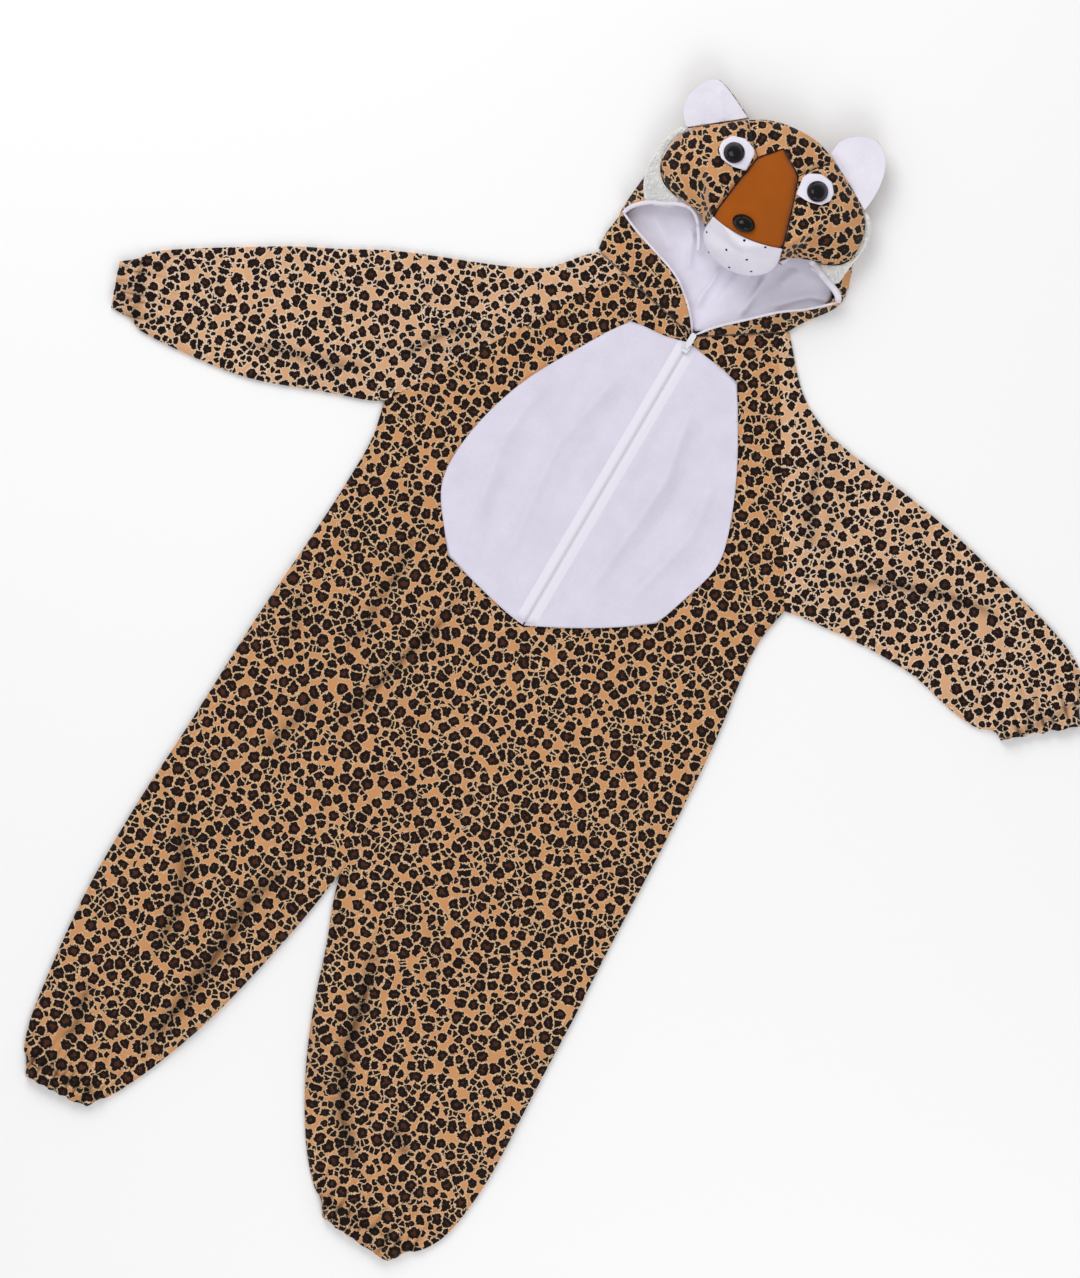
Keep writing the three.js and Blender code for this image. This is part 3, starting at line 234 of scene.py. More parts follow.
def big_cat_plush(name, turn, grown, fuller, grounds=(TAN, CREAM), own_map=False):
    """Printed short-pile plush: close dark spots with brown hearts on tan, each with a paler ring.

    Large ragged spots are scattered first, and small ones fill what they leave. Depths are millimetres into a spot.
    The print lies flat on the laid-out cloth, or follows a padded piece's own map. `grown` scales it, and `fuller` is
    added to the size of every spot. `grounds` are the colours away from the spots and close to them.
    """
    material, tree = new_material(name)
    if own_map:
        flat = add(tree, "UVMap", {}, uv_map=PRINT_MAP)
    else:
        flat = add(tree, "TexCoord", {}, "Object")
    place = add(tree, "Mapping", {"Vector": flat, "Rotation": (0, 0, turn), "Scale": (1 / grown, 1 / grown, 0)})
    ragged_by = {"Vector": place, "Scale": 210.0, "Detail": 3.0, "Roughness": 0.62}
    ragged = add(tree, "TexNoise", ragged_by, "Color", noise_dimensions="2D")
    drift = add(tree, "VectorMath", {0: ragged, 1: (0.5, 0.5, 0.5)}, operation="SUBTRACT")

    def torn_by(most_mm):
        """Places that are moved about, so that the spots laid out on them are ragged."""
        moved = add(tree, "VectorMath", {0: drift, "Scale": most_mm / MM}, operation="SCALE")
        return add(tree, "VectorMath", {0: place, 1: moved}, operation="ADD")

    def cells(at, spacing, feature):
        scattered = {"Vector": at, "Scale": MM / spacing, "Randomness": 0.95}
        return add(tree, "TexVoronoi", scattered, "Distance", voronoi_dimensions="2D", feature=feature)

    def spots(at, spacing, least, most, kept):
        """Depth inside the spots of one layer, each with its own size, and the middle of the nearest one."""
        away = cells(at, spacing, "F1")
        middle = away.node.outputs["Position"]
        chance = add(tree, "SeparateColor", {"Color": away.node.outputs["Color"]}).node.outputs
        size = add(tree, "Math", {0: chance["Green"], 1: most - least, 2: least + fuller}, operation="MULTIPLY_ADD")
        inner = add(tree, "Math", {0: away, 1: -spacing, 2: size}, operation="MULTIPLY_ADD")
        here = add(tree, "MapRange", {"Value": chance["Red"], "From Min": 0.99 - kept, "From Max": 1 - kept}, **SMOOTH)
        sunk = add(tree, "Math", {0: here, 1: LEFT_OUT, 2: -LEFT_OUT}, operation="MULTIPLY_ADD")
        return add(tree, "Math", {0: inner, 1: sunk}, operation="ADD"), middle

    def fenced(depth, at, spacing, gap):
        """Spots that end `gap` before the edge of their cells, so that none runs into the next."""
        edge = cells(at, spacing, "DISTANCE_TO_EDGE")
        fence = add(tree, "Math", {0: edge, 1: spacing, 2: -gap}, operation="MULTIPLY_ADD")
        return add(tree, "Math", {0: depth, 1: fence}, operation="MINIMUM")

    torn, less_torn = torn_by(7.5), torn_by(4.8)
    large, _ = spots(torn, **LARGE_SPOTS)
    large = fenced(large, torn, LARGE_SPOTS["spacing"], gap=0.75)
    small, middle = spots(less_torn, **SMALL_SPOTS)
    small = fenced(small, less_torn, SMALL_SPOTS["spacing"], gap=0.55)
    # a small spot whose middle would lie in a large one, or in its paler ring, is left out
    nearby, _ = spots(middle, **LARGE_SPOTS)
    crowded = add(tree, "MapRange", {"Value": nearby, "From Min": -1.9, "From Max": -1.7}, **SMOOTH)
    small = add(tree, "Math", {0: crowded, 1: -LEFT_OUT, 2: small}, operation="MULTIPLY_ADD")
    clear = add(tree, "Math", {0: large, 1: -1.0, 2: -1.3}, operation="MULTIPLY_ADD")
    small = add(tree, "Math", {0: small, 1: clear}, operation="MINIMUM")
    depth = add(tree, "Math", {0: large, 1: small}, operation="MAXIMUM")
    inside = add(tree, "MapRange", {"Value": depth, "From Min": -0.2, "From Max": 0.3}, **SMOOTH)
    ring = add(tree, "MapRange", {"Value": depth, "From Min": -1.4, "From Max": -0.5}, **SMOOTH)
    # the hearts are ragged, so that they thin the dark rim on some sides
    fray = add(tree, "SeparateColor", {"Color": ragged}, "Blue")
    fray = add(tree, "Math", {0: fray, 1: 7.0, 2: -3.5}, operation="MULTIPLY_ADD")
    frayed = add(tree, "Math", {0: large, 1: fray}, operation="ADD")
    large_heart = add(tree, "MapRange", {"Value": frayed, "From Min": 3.7, "From Max": 5.2}, **SMOOTH)
    small_heart = add(tree, "MapRange", {"Value": small, "From Min": 2.3, "From Max": 3.4}, **SMOOTH)
    heart = add(tree, "Math", {0: large_heart, 1: small_heart}, operation="MAXIMUM")
    ground = add(tree, "Mix", {0: ring, 6: linear(grounds[0]), 7: linear(grounds[1])}, 2, **COLOURS)
    spot = add(tree, "Mix", {0: heart, 6: linear(SPOT_EDGE), 7: linear(SPOT_HEART)}, 2, **COLOURS)
    printed = add(tree, "Mix", {0: inside, 6: ground, 7: spot}, 2, **COLOURS)
    plush_finish(tree, printed, nap_mm=1.1, nap_height=0.5, sheen=0.12)
    return material


def plain_plush(name, code, nap_mm=1.0, nap_height=0.5, sheen=0.15):
    material, tree = new_material(name)
    plush_finish(tree, linear(code), nap_mm, nap_height, sheen)
    return material


def moulded(name, code, roughness, shine=0.5, ior=PLASTIC_IOR):
    """Moulded plastic: one colour all through, and as glossy as its mould."""
    material, tree = new_material(name)
    colour = linear(code)
    principled(tree, {"Base Color": colour, "Roughness": roughness, "IOR": ior, "Specular IOR Level": shine})
    return material


def safety_eye(name, node):
    """A domed acrylic eye: black, with a dark brown ring under its edge, 7 mm from the middle."""
    material, tree = new_material(name)
    low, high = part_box(node)
    place = add(tree, "TexCoord", {}, "Object")
    off = add(tree, "VectorMath", {0: place, 1: (low + high) / 2}, operation="SUBTRACT")
    flat = add(tree, "VectorMath", {0: off, 1: (MM, MM, 0)}, operation="MULTIPLY")
    away = add(tree, "VectorMath", {0: flat}, "Value", operation="LENGTH")
    ringed = add(tree, "MapRange", {"Value": away, "From Min": 6.6, "From Max": 7.4}, **SMOOTH)
    colour = add(tree, "Mix", {0: ringed, 6: linear(EYE_BLACK), 7: linear(EYE_RING)}, 2, **COLOURS)
    principled(tree, {"Base Color": colour, "Roughness": 0.06, "IOR": 1.38, "Specular IOR Level": 0.3})
    return material


def woven(name, code, yarn_mm, height_mm):
    """Zip tape and coil: a fine flat weave."""
    material, tree = new_material(name)
    place = add(tree, "TexCoord", {}, "Object")
    yarns = add(tree, "TexNoise", {"Vector": place, "Scale": MM / yarn_mm, "Detail": 1.0}, "Fac")
    bump = add(tree, "Bump", {"Strength": 0.3, "Distance": height_mm / MM, "Height": yarns})
    finish = {"Roughness": 0.7, "Specular IOR Level": 0.2}
    principled(tree, {"Base Color": linear(code), "Normal": bump, **finish})
    return material


# Printed velboa: short dense polyester pile, so matt and soft, and the print's edges are a little frayed. The cloth of
# the body and sleeves has a smaller print than the face's. The real pile is too fine to show, so its grain is drawn
# about 1 mm coarse.
BODY_PLUSH = big_cat_plush("printed velboa plush", turn=0.35, grown=0.78, fuller=1.7)
SLEEVE_PLUSH = big_cat_plush(
    "printed velboa plush, sleeves", turn=1.9, grown=0.8, fuller=0.68, grounds=(SLEEVE_TAN, SLEEVE_CREAM)
)
HOOD_PLUSH = big_cat_plush("printed velboa plush, hood", turn=1.1, grown=0.84, fuller=1.2)
FACE_PLUSH = big_cat_plush("printed velboa plush, padded", turn=0.7, grown=0.88, fuller=0.65, own_map=True)
# Plain dyed velboa: cool white, and orange-tan on the bridge of the face. On the face the white velboa is painted
# # lighter than on the belly: painted light, to make up for the shade on the muzzle.
WHITE_PLUSH = plain_plush("white velboa plush", WHITE)
LIT_FACE_WHITE_PLUSH = plain_plush("white velboa plush, face", LIT_FACE_WHITE)
BRIDGE_PLUSH = plain_plush("orange-tan velboa plush", BRIDGE_TAN, nap_height=0.4, sheen=0.12)
# Warp-knitted lining: smoother than the plush, with hardly any nap
LINING = plain_plush("white tricot lining", LIT_LINING_WHITE, nap_mm=0.8, nap_height=0.2, sheen=0.1)
HEM = plain_plush("white tricot lining, rolled hem", HEM_WHITE, nap_mm=0.8, nap_height=0.2, sheen=0.1)
# Faux fur: clumps of long pile, whose shape is in the tufts
LONG_PILE = plain_plush("off-white faux fur", PILE_WHITE, nap_mm=2.2, nap_height=1.2, sheen=0.2)
# Moulded nose: glossy black, with one small highlight. The dots are matt knots of thread.
NOSE_PLASTIC = moulded("black moulded ABS", NOSE_BLACK, 0.07, shine=0.35, ior=1.38)
DOT_THREAD = moulded("black embroidery thread", THREAD_BLACK, 0.8, shine=0.1)
# Zip: paler than the belly beside it, with a grey line where the coil shows, and a satin slider. The coil is white
# nylon
# # painted grey, as painted shade in the gaps between its meshing teeth. The tape's yarns are too fine to show, so the
# # weave is drawn 0.5 mm coarse.
TAPE = woven("white polyester zip tape", TAPE_WHITE, yarn_mm=0.5, height_mm=0.1)
COIL = woven("white nylon zip coil", COIL_SHADE_GREY, yarn_mm=0.9, height_mm=0.4)
SLIDER = moulded("white moulded acetal", SLIDER_WHITE, 0.3)

# ---------------------------------------------------------------- shapes of the creases


def distance_to_line(x, y, line):
    """How far each place is from a line, and how near an end its closest place on the line is, as a share of the
    line's length."""
    away = np.full(x.shape, 1e9)
    along = np.zeros(x.shape)
    lengths = [math.dist(a, b) for a, b in zip(line, line[1:])]
    done, total = 0.0, sum(lengths)
    for (ax, ay), (bx, by), length in zip(line, line[1:], lengths):
        share = np.clip(((x - ax) * (bx - ax) + (y - ay) * (by - ay)) / length**2, 0, 1)
        here = np.hypot(x - ax - share * (bx - ax), y - ay - share * (by - ay))
        nearer = here < away
        away = np.where(nearer, here, away)
        along = np.where(nearer, (done + share * length) / total, along)
        done += length
    return away, np.minimum(along, 1 - along)


CREASE_ENDS = 0.18  # the share of a crease's length in which it fades out, at each end
SHADE_FADE_ENDS = 0.25  # and in which its painted shade does
FULL_SHADE_DEPTH = 3.6  # millimetres; a crease of this depth has the fullest painted shade


def crease_height(x, y, creases):
    """Each crease is a hollow with a sharp middle, between two low rims."""
    height = np.zeros(x.shape)
    for crease in creases:
        away, near_end = distance_to_line(x, y, crease["line"])
        fade = np.clip(near_end / CREASE_ENDS, 0, 1)
        fade = fade * fade * (3 - 2 * fade)
        share = away / crease["reach"]
        inner = 0.5 * np.exp(-(share**2)) + 0.7 * np.exp(-((share / 0.45) ** 2))
        rim = 0.7 * np.exp(-(((share - 1.9) / 0.9) ** 2))
        height += crease["depth"] * fade * (rim - inner)
    return height


def no_deeper(height, most):
    """Heights whose hollows level out at `most`, where the cloth meets what is under it."""
    return np.where(height < 0, -most * np.tanh(-height / most), height)


CUFF_REACH = 60  # millimetres up and down the limb from a cuff's elastic that its gathers can reach
CUFF_MARGIN = 15  # millimetres past the elastic's ends that they can


def at_cuff(x, y, cuff):
    """Each place's distance up the limb from the elastic, its share of the way across, its phase in the gathers, and
    whether it is at this cuff."""
    (ax, ay), (bx, by) = cuff["ends"]
    width = math.hypot(bx - ax, by - ay)
    across = ((x - ax) * (bx - ax) + (y - ay) * (by - ay)) / width
    up = (x - ax) * cuff["up"][0] + (y - ay) * cuff["up"][1]
    low, high, steps = -CUFF_MARGIN, width + CUFF_MARGIN, 14
    shifts = [random.Random(ax + k).uniform(-1.1, 1.1) for k in range(steps)]
    phase = math.pi * cuff["waves"] * across / width + np.interp(across, np.linspace(low, high, steps), shifts)
    return up, across / width, phase, (np.abs(up) < CUFF_REACH) & (across > low) & (across < high)


def gather_height(x, y):
    """Uneven little folds that run up each limb from its elastic."""
    height = np.zeros(x.shape)
    for cuff in GATHERS:
        up, _, phase, here = at_cuff(x, y, cuff)
        away = np.abs(up)
        short_folds = 2.6 * np.exp(-away / 14) * (np.sqrt(np.sin(phase) ** 2 + 0.06) - 0.45)
        long_folds = 2.2 * np.exp(-away / 28) * (np.abs(np.sin(0.5 * phase + 0.4)) - 0.5)
        height += np.where(here, short_folds + long_folds, 0)
    return height


def draw_in(piece):
    """The gathered hem of a cuff is wavy and rounded: parts of it, and its corners, are drawn up the limb."""
    points = places(piece)
    for cuff in GATHERS:
        up, share, phase, here = at_cuff(points[:, 0], points[:, 1], cuff)
        corners = 5.5 * np.minimum(np.abs(2 * share - 1), 1.1) ** 4
        waves = 1.3 * (1 + np.sin(1.3 * phase))
        drawn = np.where(here, (waves + corners) * np.exp(-(((up + 9) / 9) ** 2)), 0)
        points[:, 0] += drawn * cuff["up"][0]
        points[:, 1] += drawn * cuff["up"][1]
    put_back(piece, points)
    return piece


def crease_shade_at(x, y):
    """The painted shade at each place, from 0 to 1: how far it is shut away in a crease or between gathers."""
    found = np.zeros(x.shape)
    for crease in CREASES:
        if crease["depth"] > 0:
            away, near_end = distance_to_line(x, y, crease["line"])
            share = away / crease["reach"]
            shut = 0.7 * np.exp(-((share / 0.5) ** 2)) + 0.3 * np.exp(-((share / 1.4) ** 2))
            fade = np.clip(near_end / SHADE_FADE_ENDS, 0, 1)
            found = np.maximum(found, fade * min(crease["depth"] / FULL_SHADE_DEPTH, 1) * shut)
    for cuff in GATHERS:
        up, _, phase, here = at_cuff(x, y, cuff)
        # painted shade between the gathers, and in a narrow band along the elastic
        shut = np.clip(1 - 1.5 * np.abs(np.sin(phase)), 0, 1)
        shut = shut * np.exp(-np.abs(up) / 22) + 0.35 * np.exp(-(((up - 1) / 5) ** 2))
        found = np.maximum(found, np.where(here, np.minimum(shut, 0.95), 0))
    return found


def rumple_height(points, size_mm, stretch, height_mm):
    """Soft uneven drag in laid-out cloth, longer along the limbs than across."""
    found = np.empty(len(points))
    for i, (x, y) in enumerate(points):
        a = noise.noise(Vector((x / size_mm, y / (size_mm * stretch), 0.3)))
        b = noise.noise(Vector((x / (size_mm * 0.45), y / (size_mm * 0.6), 7.7)))
        found[i] = height_mm * (a + 0.4 * b)
    return found


# ---------------------------------------------------------------- cloth pieces


def linked(name, data):
    """A new object in the scene."""
    made = bpy.data.objects.new(name, data)
    bpy.context.scene.collection.objects.link(made)
    return made


def mesh_of(shape, name):
    """A finished shape as a mesh of its own."""
    mesh = bpy.data.meshes.new(name)
    shape.to_mesh(mesh)
    shape.free()
    return mesh


def shown(name, mesh, material):
    """A smooth-shaded piece of the costume, which stays with its body."""
    piece = linked(name, mesh)
    mesh.materials.clear()
    mesh.materials.append(material)
    mesh.polygons.foreach_set("use_smooth", [True] * len(mesh.polygons))
    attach(piece, "costume")
    return piece


def places(piece):
    """A piece's points in millimetres on the costume."""
    points = np.empty(len(piece.data.vertices) * 3)
    piece.data.vertices.foreach_get("co", points)
    points = points.reshape(-1, 3) * MM
    points[:, 0] -= ZIP_TOP[0]
    points[:, 1] -= ZIP_TOP[1]
    return points


def put_back(piece, points):
    """Sets a piece's points from millimetres on the costume."""
    moved = points.copy()
    moved[:, 0] += ZIP_TOP[0]
    moved[:, 1] += ZIP_TOP[1]
    piece.data.vertices.foreach_set("co", (moved / MM).ravel())
    piece.data.update()


def on_part(x, y, z):
    """A place on the costume in millimetres as one in the part's frame in metres."""
    return Vector(((x + ZIP_TOP[0]) / MM, (y + ZIP_TOP[1]) / MM, z / MM))


def corner_points(mesh):
    """The point of each corner of the mesh's faces."""
    found = np.empty(len(mesh.loops), np.int32)
    mesh.loops.foreach_get("vertex_index", found)
    return found


SEAM_TAKE = 0.17  # the pile fills the gap that the solids leave at a seam, in millimetres from each side
TINY = 1e-6  # no length


def meet_at_seams(piece):
    """Moves the upright edges of a piece out by half of the gap, so that sewn neighbours touch."""
    faces = piece.data.polygons
    normals = np.empty(len(faces) * 3)
    faces.foreach_get("normal", normals)
    normals = normals.reshape(-1, 3)
    counts = np.empty(len(faces), np.int32)
    faces.foreach_get("loop_total", counts)
    of_face = np.repeat(np.arange(len(faces)), counts)
    upright = np.abs(normals[of_face, 2]) < 0.35  # faces within some 20 degrees of upright
    out = np.zeros((len(piece.data.vertices), 3))
    np.add.at(out, corner_points(piece.data)[upright], normals[of_face[upright]])
    out[:, 2] = 0
    size = np.linalg.norm(out, axis=1, keepdims=True)
    put_back(piece, places(piece) + np.where(size > TINY, out * SEAM_TAKE / np.maximum(size, TINY), 0))


# How many times the faces of a solid are halved for its finer copy
FINE = 3
PLAIN = 2
COARSE = 1
# A solid's edge is held where its faces turn by more than this, and a rim's point where the rim does
RIM_TURN = math.radians(52)
CORNER_TURN = math.radians(25)


def refined(name, levels, material, sharp_corners=True, ease=0):
    """A smooth, finer copy of a CAD node's solid, which stands for that node in the picture.

    Its sewn rims and their corners stay where the solid has them. `ease` evens out the heights between them.
    """
    shape = bmesh.new()
    shape.from_mesh(NODES[name].data)
    bmesh.ops.remove_doubles(shape, verts=shape.verts, dist=TINY)
    bmesh.ops.join_triangles(
        shape, faces=shape.faces, angle_face_threshold=math.radians(35), angle_shape_threshold=math.radians(180)
    )
    crease = shape.edges.layers.float.new("crease_edge")
    corner = shape.verts.layers.float.new("crease_vert")
    rim = [e for e in shape.edges if len(e.link_faces) == 2 and e.calc_face_angle(0.0) > RIM_TURN]
    if not sharp_corners:
        # only the line round the cut edge is held, so that the gathers that run out over it are round
        rim = [e for e in rim if len({abs(f.normal.z) < 0.3 for f in e.link_faces}) == 2]
    for edge in rim:
        edge[crease] = 1.0
    held = {v for e in rim for v in e.verts}
    for vert in held if sharp_corners else ():
        ways = [e.other_vert(vert).co - vert.co for e in vert.link_edges if e[crease]]
        level = [w for w in ways if abs(w.z) < 0.7 * w.length]
        if len(level) == 2 and math.pi - level[0].angle(level[1], math.pi) > CORNER_TURN:
            vert[corner] = 1.0
    for _ in range(ease):
        bmesh.ops.smooth_vert(shape, verts=[v for v in shape.verts if v not in held], factor=0.5, use_axis_z=True)
    maker = linked(name + " maker", mesh_of(shape, name + " coarse"))
    smooth = maker.modifiers.new("smooth", "SUBSURF")
    smooth.levels = smooth.render_levels = levels
    finished = bpy.data.meshes.new_from_object(maker.evaluated_get(bpy.context.evaluated_depsgraph_get()))
    bpy.data.objects.remove(maker)
    piece = shown(name + "_piece", finished, material)
    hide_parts(name)
    meet_at_seams(piece)
    return piece


ZIP_LINE = [(0, 10), (0, -306)]
FLAT_BY_ZIP = 13  # millimetres; the zip keeps the cloth flat as far as this
FREE_OF_ZIP = 35  # and has no hold on it from here


def pressed_height(points):
    """Height of the creases, gathers and drag at each place."""
    x, y = points[:, 0], points[:, 1]
    from_zip, _ = distance_to_line(x, y, ZIP_LINE)
    free = np.clip((from_zip - FLAT_BY_ZIP) / (FREE_OF_ZIP - FLAT_BY_ZIP), 0, 1)
    creases = 1.3 * crease_height(x, y, CREASES)
    drag = rumple_height(points[:, :2], size_mm=46.0, stretch=1.9, height_mm=2.5)
    return no_deeper(free * (creases + drag) + gather_height(x, y), most=3.0)


def press(piece, low=3.3, high=6.0):
    """Presses the creases into a laid-out piece. Its edges stay where they are, down at the seams.

    The cloth is free above the height `high`, held below `low`, and partly free between, in millimetres.
    """
    points = places(piece)
    free = np.clip((points[:, 2] - low) / (high - low), 0, 1)
    points[:, 2] += free * pressed_height(points)
    put_back(piece, points)
    # painted shade in the creases and gathers, which darkens the plush's colour
    shut = piece.data.attributes.new(PAINTED_SHADE_ATTRIBUTE, "FLOAT", "POINT")
    shut.data.foreach_set("value", free * crease_shade_at(points[:, 0], points[:, 1]))
    return piece


def map_print(piece):
    """The printed cloth's own map: flat distances from the padded piece's top, kept true down its sides."""
    points = places(piece)
    top = points[np.argmax(points[:, 2])]
    flat = points[:, :2] - top[:2]
    across = np.hypot(flat[:, 0], flat[:, 1])
    true = np.hypot(across, 0.8 * (top[2] - points[:, 2]))
    spread = (flat * (true / np.maximum(across, TINY))[:, None] + top[:2]) / MM
    layer = piece.data.uv_layers.new(name=PRINT_MAP)
    layer.data.foreach_set("uv", spread[corner_points(piece.data)].ravel())


def smooth_line(points, steps):
    """Places on a smooth curve through the points."""
    known = [Vector(p) for p in points]
    known = [2 * known[0] - known[1], *known, 2 * known[-1] - known[-2]]
    found = []
    for a, b, c, d in zip(known, known[1:], known[2:], known[3:]):
        for t in (k / steps for k in range(steps)):
            found.append(
                0.5 * (2 * b + (c - a) * t + (2 * a - 5 * b + 4 * c - d) * t**2 + (3 * b - a - 3 * c + d) * t**3)
            )
    return [*found, known[-2]]


def rolled_hem(name, line, thick):
    """A rolled hem of the lining: a round end that is extruded from place to place along a smooth line.

    `thick` is its radius in millimetres, and it gets thinner towards its ends.
    """
    stations = [on_part(*p) for p in smooth_line(line, 5)]
    shape = bmesh.new()
    ring = bmesh.ops.create_circle(shape, cap_ends=True, segments=10, radius=1.0)["verts"]
    cap = next(iter(shape.faces))
    before = Matrix.Identity(4)
    for i, here in enumerate(stations):
        if i:
            grown = bmesh.ops.extrude_face_region(shape, geom=[cap])["geom"]
            ring = [g for g in grown if isinstance(g, bmesh.types.BMVert)]
            cap = next(g for g in grown if isinstance(g, bmesh.types.BMFace))
        way = stations[min(i + 1, len(stations) - 1)] - stations[max(i - 1, 0)]
        radius = thick / MM * (0.6, 0.85, 1.0)[min(i, len(stations) - 1 - i, 2)]
        now = Matrix.Translation(here) @ way.to_track_quat("Z", "Y").to_matrix().to_4x4() @ Matrix.Scale(radius, 4)
        bmesh.ops.transform(shape, matrix=now @ before.inverted(), verts=ring)
        before = now
    bmesh.ops.recalc_face_normals(shape, faces=shape.faces)
    shown(name, mesh_of(shape, name), HEM)


DOWN = Vector((0, 0, -1))


def surface_of(piece):
    """A search tree of a piece's surface."""
    shape = bmesh.new()
    shape.from_mesh(piece.data)
    tree = BVHTree.FromBMesh(shape)
    shape.free()
    return tree


def muzzle_dots(muzzle):
    """Flat knots of black thread, one at each whisker."""
    surface = surface_of(muzzle)
    shape = bmesh.new()
    for x, y in MUZZLE_DOTS:
        hit, normal, _, _ = surface.ray_cast(on_part(x, y, WELL_ABOVE), DOWN)
        turned = normal.to_track_quat("Z", "Y").to_matrix().to_4x4()
        laid_flat = Matrix.Translation(hit) @ turned @ Matrix.Diagonal((1, 1, 0.45, 1))
        bmesh.ops.create_icosphere(shape, subdivisions=2, radius=DOT_RADIUS / MM, matrix=laid_flat)
    shown("muzzle_dots", mesh_of(shape, "muzzle_dots"), DOT_THREAD)


TUFTS = 900  # in each band
SHORTEST_TUFT = 0.002  # metres
ABOVE = Vector((0, 0, 0.02))  # higher than any tuft's tip


def fur_tufts(band, side):
    """Tufts of long pile, combed down and a little out from the face. None reaches past the band."""
    chance = random.Random(7 if side == "left" else 8)
    surface = surface_of(band)
    upper = [f for f in band.data.polygons if f.normal.z > 0.5]
    combed = -0.35 if side == "left" else 0.45
    shape = bmesh.new()
    for face in chance.choices(upper, weights=[f.area for f in upper], k=TUFTS):
        root = face.center - Vector((0, 0, 0.0004))  # a little inside the band
        way = Vector((combed + chance.gauss(0, 0.35), -1.0 + chance.gauss(0, 0.35), 0)).normalized()
        way.z = chance.uniform(0.10, 0.38)
        length = chance.uniform(5, 10) / MM
        while length > SHORTEST_TUFT and surface.ray_cast(root + way * length + ABOVE, DOWN)[0] is None:
            length *= 0.75
        turned = way.to_track_quat("Z", "Y").to_matrix().to_4x4()
        standing = Matrix.Translation(root + way.normalized() * length / 2) @ turned
        bmesh.ops.create_cone(
            shape, cap_ends=True, segments=4, radius1=0.0007, radius2=0.0001, depth=length, matrix=standing
        )
    name = f"fur_tufts_{side}"
    shown(name, mesh_of(shape, name), LONG_PILE)


# Where the corners of the hood's mouth are, and how far the lining is drawn out there to meet the cheeks
MOUTH_REACH = 11  # millimetres round each corner
MOUTH_CORNERS = [((100, 103), (3.2, 1.2)), ((-111, 77), (-2.4, -0.4))]
# The ear's front is a little larger than its solid, so that its edge rolls over the back's
EAR_GROWTH = {"left": 1.02, "right": 1.045}
EAR_SHIFT = {"left": -1.6, "right": 0}

for side in ("left", "right"):
    draw_in(press(refined(f"front_{side}", FINE, BODY_PLUSH)))
    draw_in(refined(f"back_{side}", PLAIN, BODY_PLUSH))
    draw_in(press(refined(f"sleeve_{side}", FINE, SLEEVE_PLUSH)))
    belly = refined(f"belly_{side}", FINE, WHITE_PLUSH)
    press(belly, low=3.0, high=4.0)
    for limb, plush in (("ankle", BODY_PLUSH), ("wrist", SLEEVE_PLUSH)):
        casing = f"{limb}_{side}_casing"
        draw_in(refined(casing + "_back", PLAIN, plush))
        gathered = refined(casing + "_front", FINE, plush, sharp_corners=False)
        draw_in(press(gathered))

lining = refined("hood_lining", FINE, LINING)
points = places(lining)
creases = crease_height(points[:, 0], points[:, 1], LINING_CREASES)
drag = 0.5 * rumple_height(points[:, :2], size_mm=26.0, stretch=1.4, height_mm=1.0)
points[:, 2] += no_deeper(creases + drag, most=1.0)
for (x, y), way in MOUTH_CORNERS:
    near = np.exp(-((np.hypot(points[:, 0] - x, points[:, 1] - y) / MOUTH_REACH) ** 2))
    points[:, 0] += way[0] * near
    points[:, 1] += way[1] * near
put_back(lining, points)
for place, hem in HEMS.items():
    rolled_hem(f"mouth_hem_{place}", hem["line"], hem["thick"])

for side in ("left", "right"):
    refined(f"hood_{side}", FINE, HOOD_PLUSH)
    cheek = refined(f"cheek_{side}", FINE, FACE_PLUSH, ease=2)
    map_print(cheek)
    refined(f"eye_patch_{side}", PLAIN, LIT_FACE_WHITE_PLUSH)
    acrylic = safety_eye(f"black moulded acrylic, {side}", f"eye_{side}")
    refined(f"eye_{side}", PLAIN, acrylic)
    refined(f"ear_back_{side}", PLAIN, HOOD_PLUSH)
    ear = refined(f"ear_front_{side}", FINE, LIT_FACE_WHITE_PLUSH)
    points = places(ear)
    middle = points.mean(axis=0)
    points[:, :2] = middle[:2] + (points[:, :2] - middle[:2]) * EAR_GROWTH[side]
    points[:, 2] += crease_height(points[:, 0], points[:, 1], EAR_CREASES)
    points[:, 0] += EAR_SHIFT[side]
    put_back(ear, points)
    band = refined(f"fur_band_{side}", PLAIN, LONG_PILE)
    fur_tufts(band, side)

forehead = refined("forehead", FINE, FACE_PLUSH, ease=2)
map_print(forehead)
refined("bridge", PLAIN, BRIDGE_PLUSH, ease=2)
muzzle = refined("muzzle", FINE, LIT_FACE_WHITE_PLUSH, ease=4)
muzzle_dots(muzzle)
refined("nose", PLAIN, NOSE_PLASTIC)

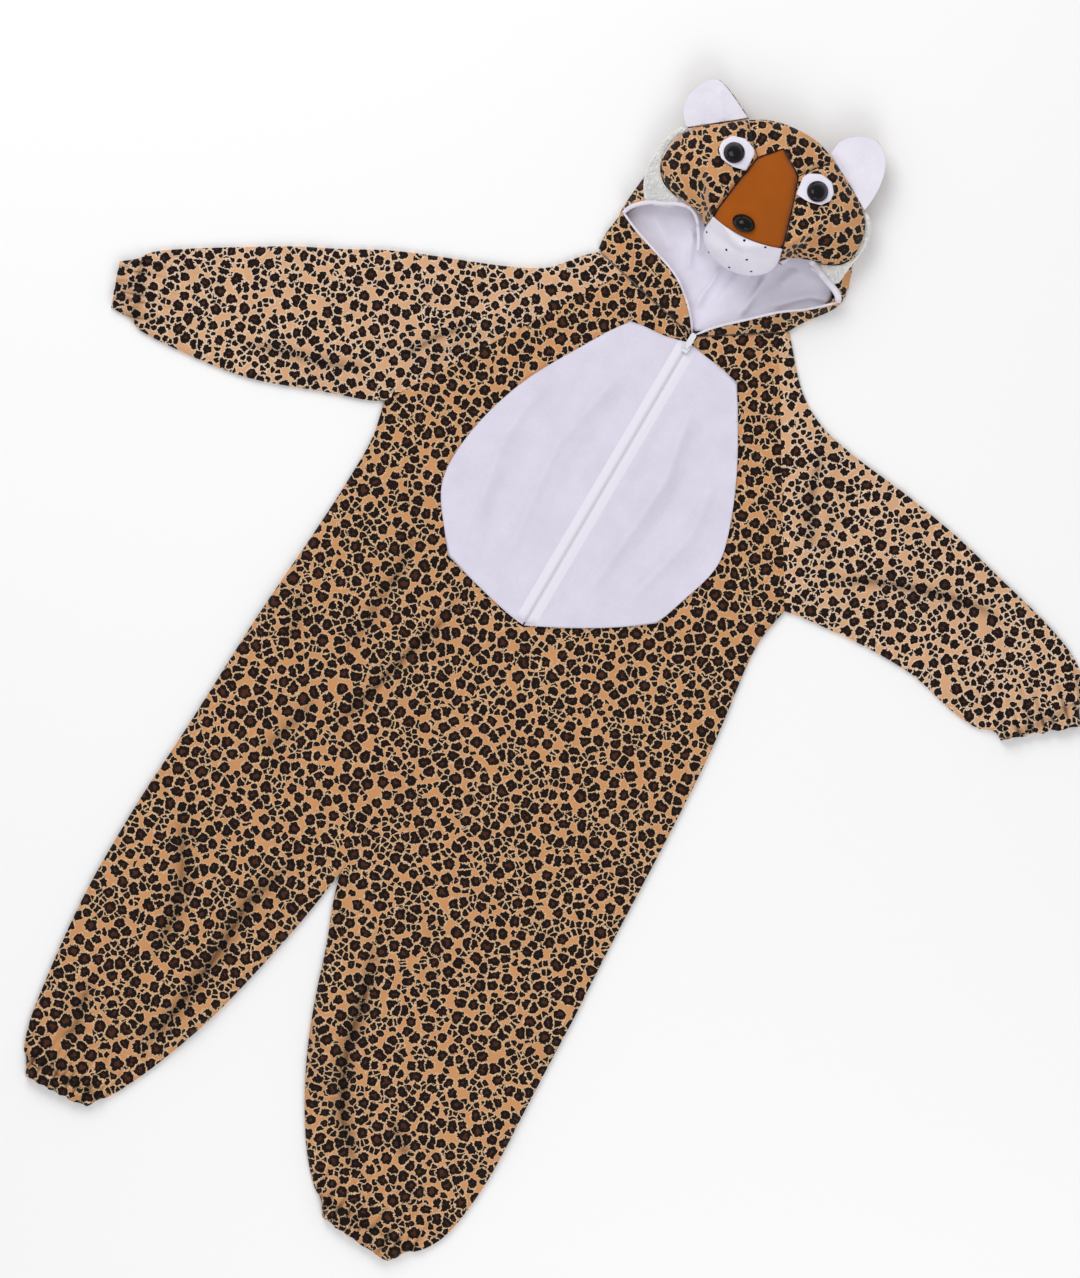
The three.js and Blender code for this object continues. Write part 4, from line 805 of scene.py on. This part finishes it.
# The zip's tapes meet at a narrow coil. Their outer edges are sewn down onto the belly, and their ends are cut along
# its edge. The slants of the ends are millimetres along the zip for each one away from it.
TAPE_TOP, TAPE_END = 4, -299
END_REACH = 30  # how far along the zip the cut of an end is spread
TAPE_INNER = 2.6  # in the solids, the tapes' inner edges lie closer to the middle than this
COIL_HALF = 0.4  # and here they end at this; the coil is this share of its solid's width
for side, way, top_slant, end_slant in (("left", -1, 0.3, 0.0), ("right", 1, 0.17, 0.32)):
    tape = refined(f"zip_tape_{side}", PLAIN, TAPE)
    points = places(tape)
    across = way * points[:, 0]
    points[:, 1] -= (2.2 + top_slant * across) * np.clip((points[:, 1] - TAPE_TOP + END_REACH) / END_REACH, 0, 1)
    points[:, 1] += end_slant * across * np.clip((TAPE_END + END_REACH - points[:, 1]) / END_REACH, 0, 1)
    points[:, 0] = np.where(across < TAPE_INNER, way * COIL_HALF, points[:, 0])
    # the tape sinks a little into the belly, and most at its outer edge
    points[:, 2] -= 0.25 + 1.4 * np.clip((across - 2) / 9, 0, 1) ** 2
    put_back(tape, points)
coil = refined("zip_coil", COARSE, COIL)
points = places(coil)
points[:, 0] *= COIL_HALF
points[:, 2] -= 0.6  # down between the tapes
put_back(coil, points)
for name in ("zip_slider", "zip_pull"):
    NODES[name].data.materials.clear()
    NODES[name].data.materials.append(SLIDER)

# ---------------------------------------------------------------- floor, light and camera

plane = bmesh.new()
bmesh.ops.create_grid(plane, x_segments=1, y_segments=1, size=4.0)
floor = linked("floor", mesh_of(plane, "floor"))
floor.location.z = -0.0005  # just under the cloth, so that the two don't share a plane
floor_paint, floor_tree = new_material("white paper sweep")
principled(floor_tree, {"Base Color": linear(FLOOR), "Roughness": 0.9})
floor.data.materials.append(floor_paint)


def softbox(name, place, size, power):
    """A square area lamp that faces the middle of the part; metres and watts."""
    lamp = bpy.data.lights.new(name, "AREA")
    lamp.size = size
    lamp.energy = power
    made = linked(name, lamp)
    made.location = place
    made.rotation_euler = (-Vector(place)).to_track_quat("-Z", "Y").to_euler()


softbox("key softbox", (-1.6, 1.5, 2.0), 1.8, 36)
softbox("fill softbox", (1.5, -1.5, 1.8), 1.6, 22)
world = bpy.data.worlds.new("studio")
world.use_nodes = True
background = world.node_tree.nodes["Background"].inputs
background["Color"].default_value = (1, 1, 1, 1)
background["Strength"].default_value = 0.57
bpy.context.scene.world = world
bpy.context.scene.view_settings.view_transform = "Standard"

# The photo looks straight down from far off, and the costume lies turned in it.
PHOTO_HEIGHT = 1.1885  # metres of floor that the picture's height shows
PHOTO_MIDDLE = (20.0, -305.5)  # the picture's middle, in millimetres on the costume
PHOTO_TURN = math.radians(30.46)
CAMERA_HEIGHT = 24.0  # metres
SENSOR_HEIGHT = 24  # millimetres
camera_data = bpy.data.cameras.new("camera")
camera_data.sensor_fit = "VERTICAL"
camera_data.sensor_height = SENSOR_HEIGHT
camera_data.lens = SENSOR_HEIGHT * CAMERA_HEIGHT / PHOTO_HEIGHT
camera = linked("camera", camera_data)
camera.location = on_part(*PHOTO_MIDDLE, CAMERA_HEIGHT * MM)
camera.rotation_euler = (0, 0, PHOTO_TURN)
bpy.context.scene.camera = camera
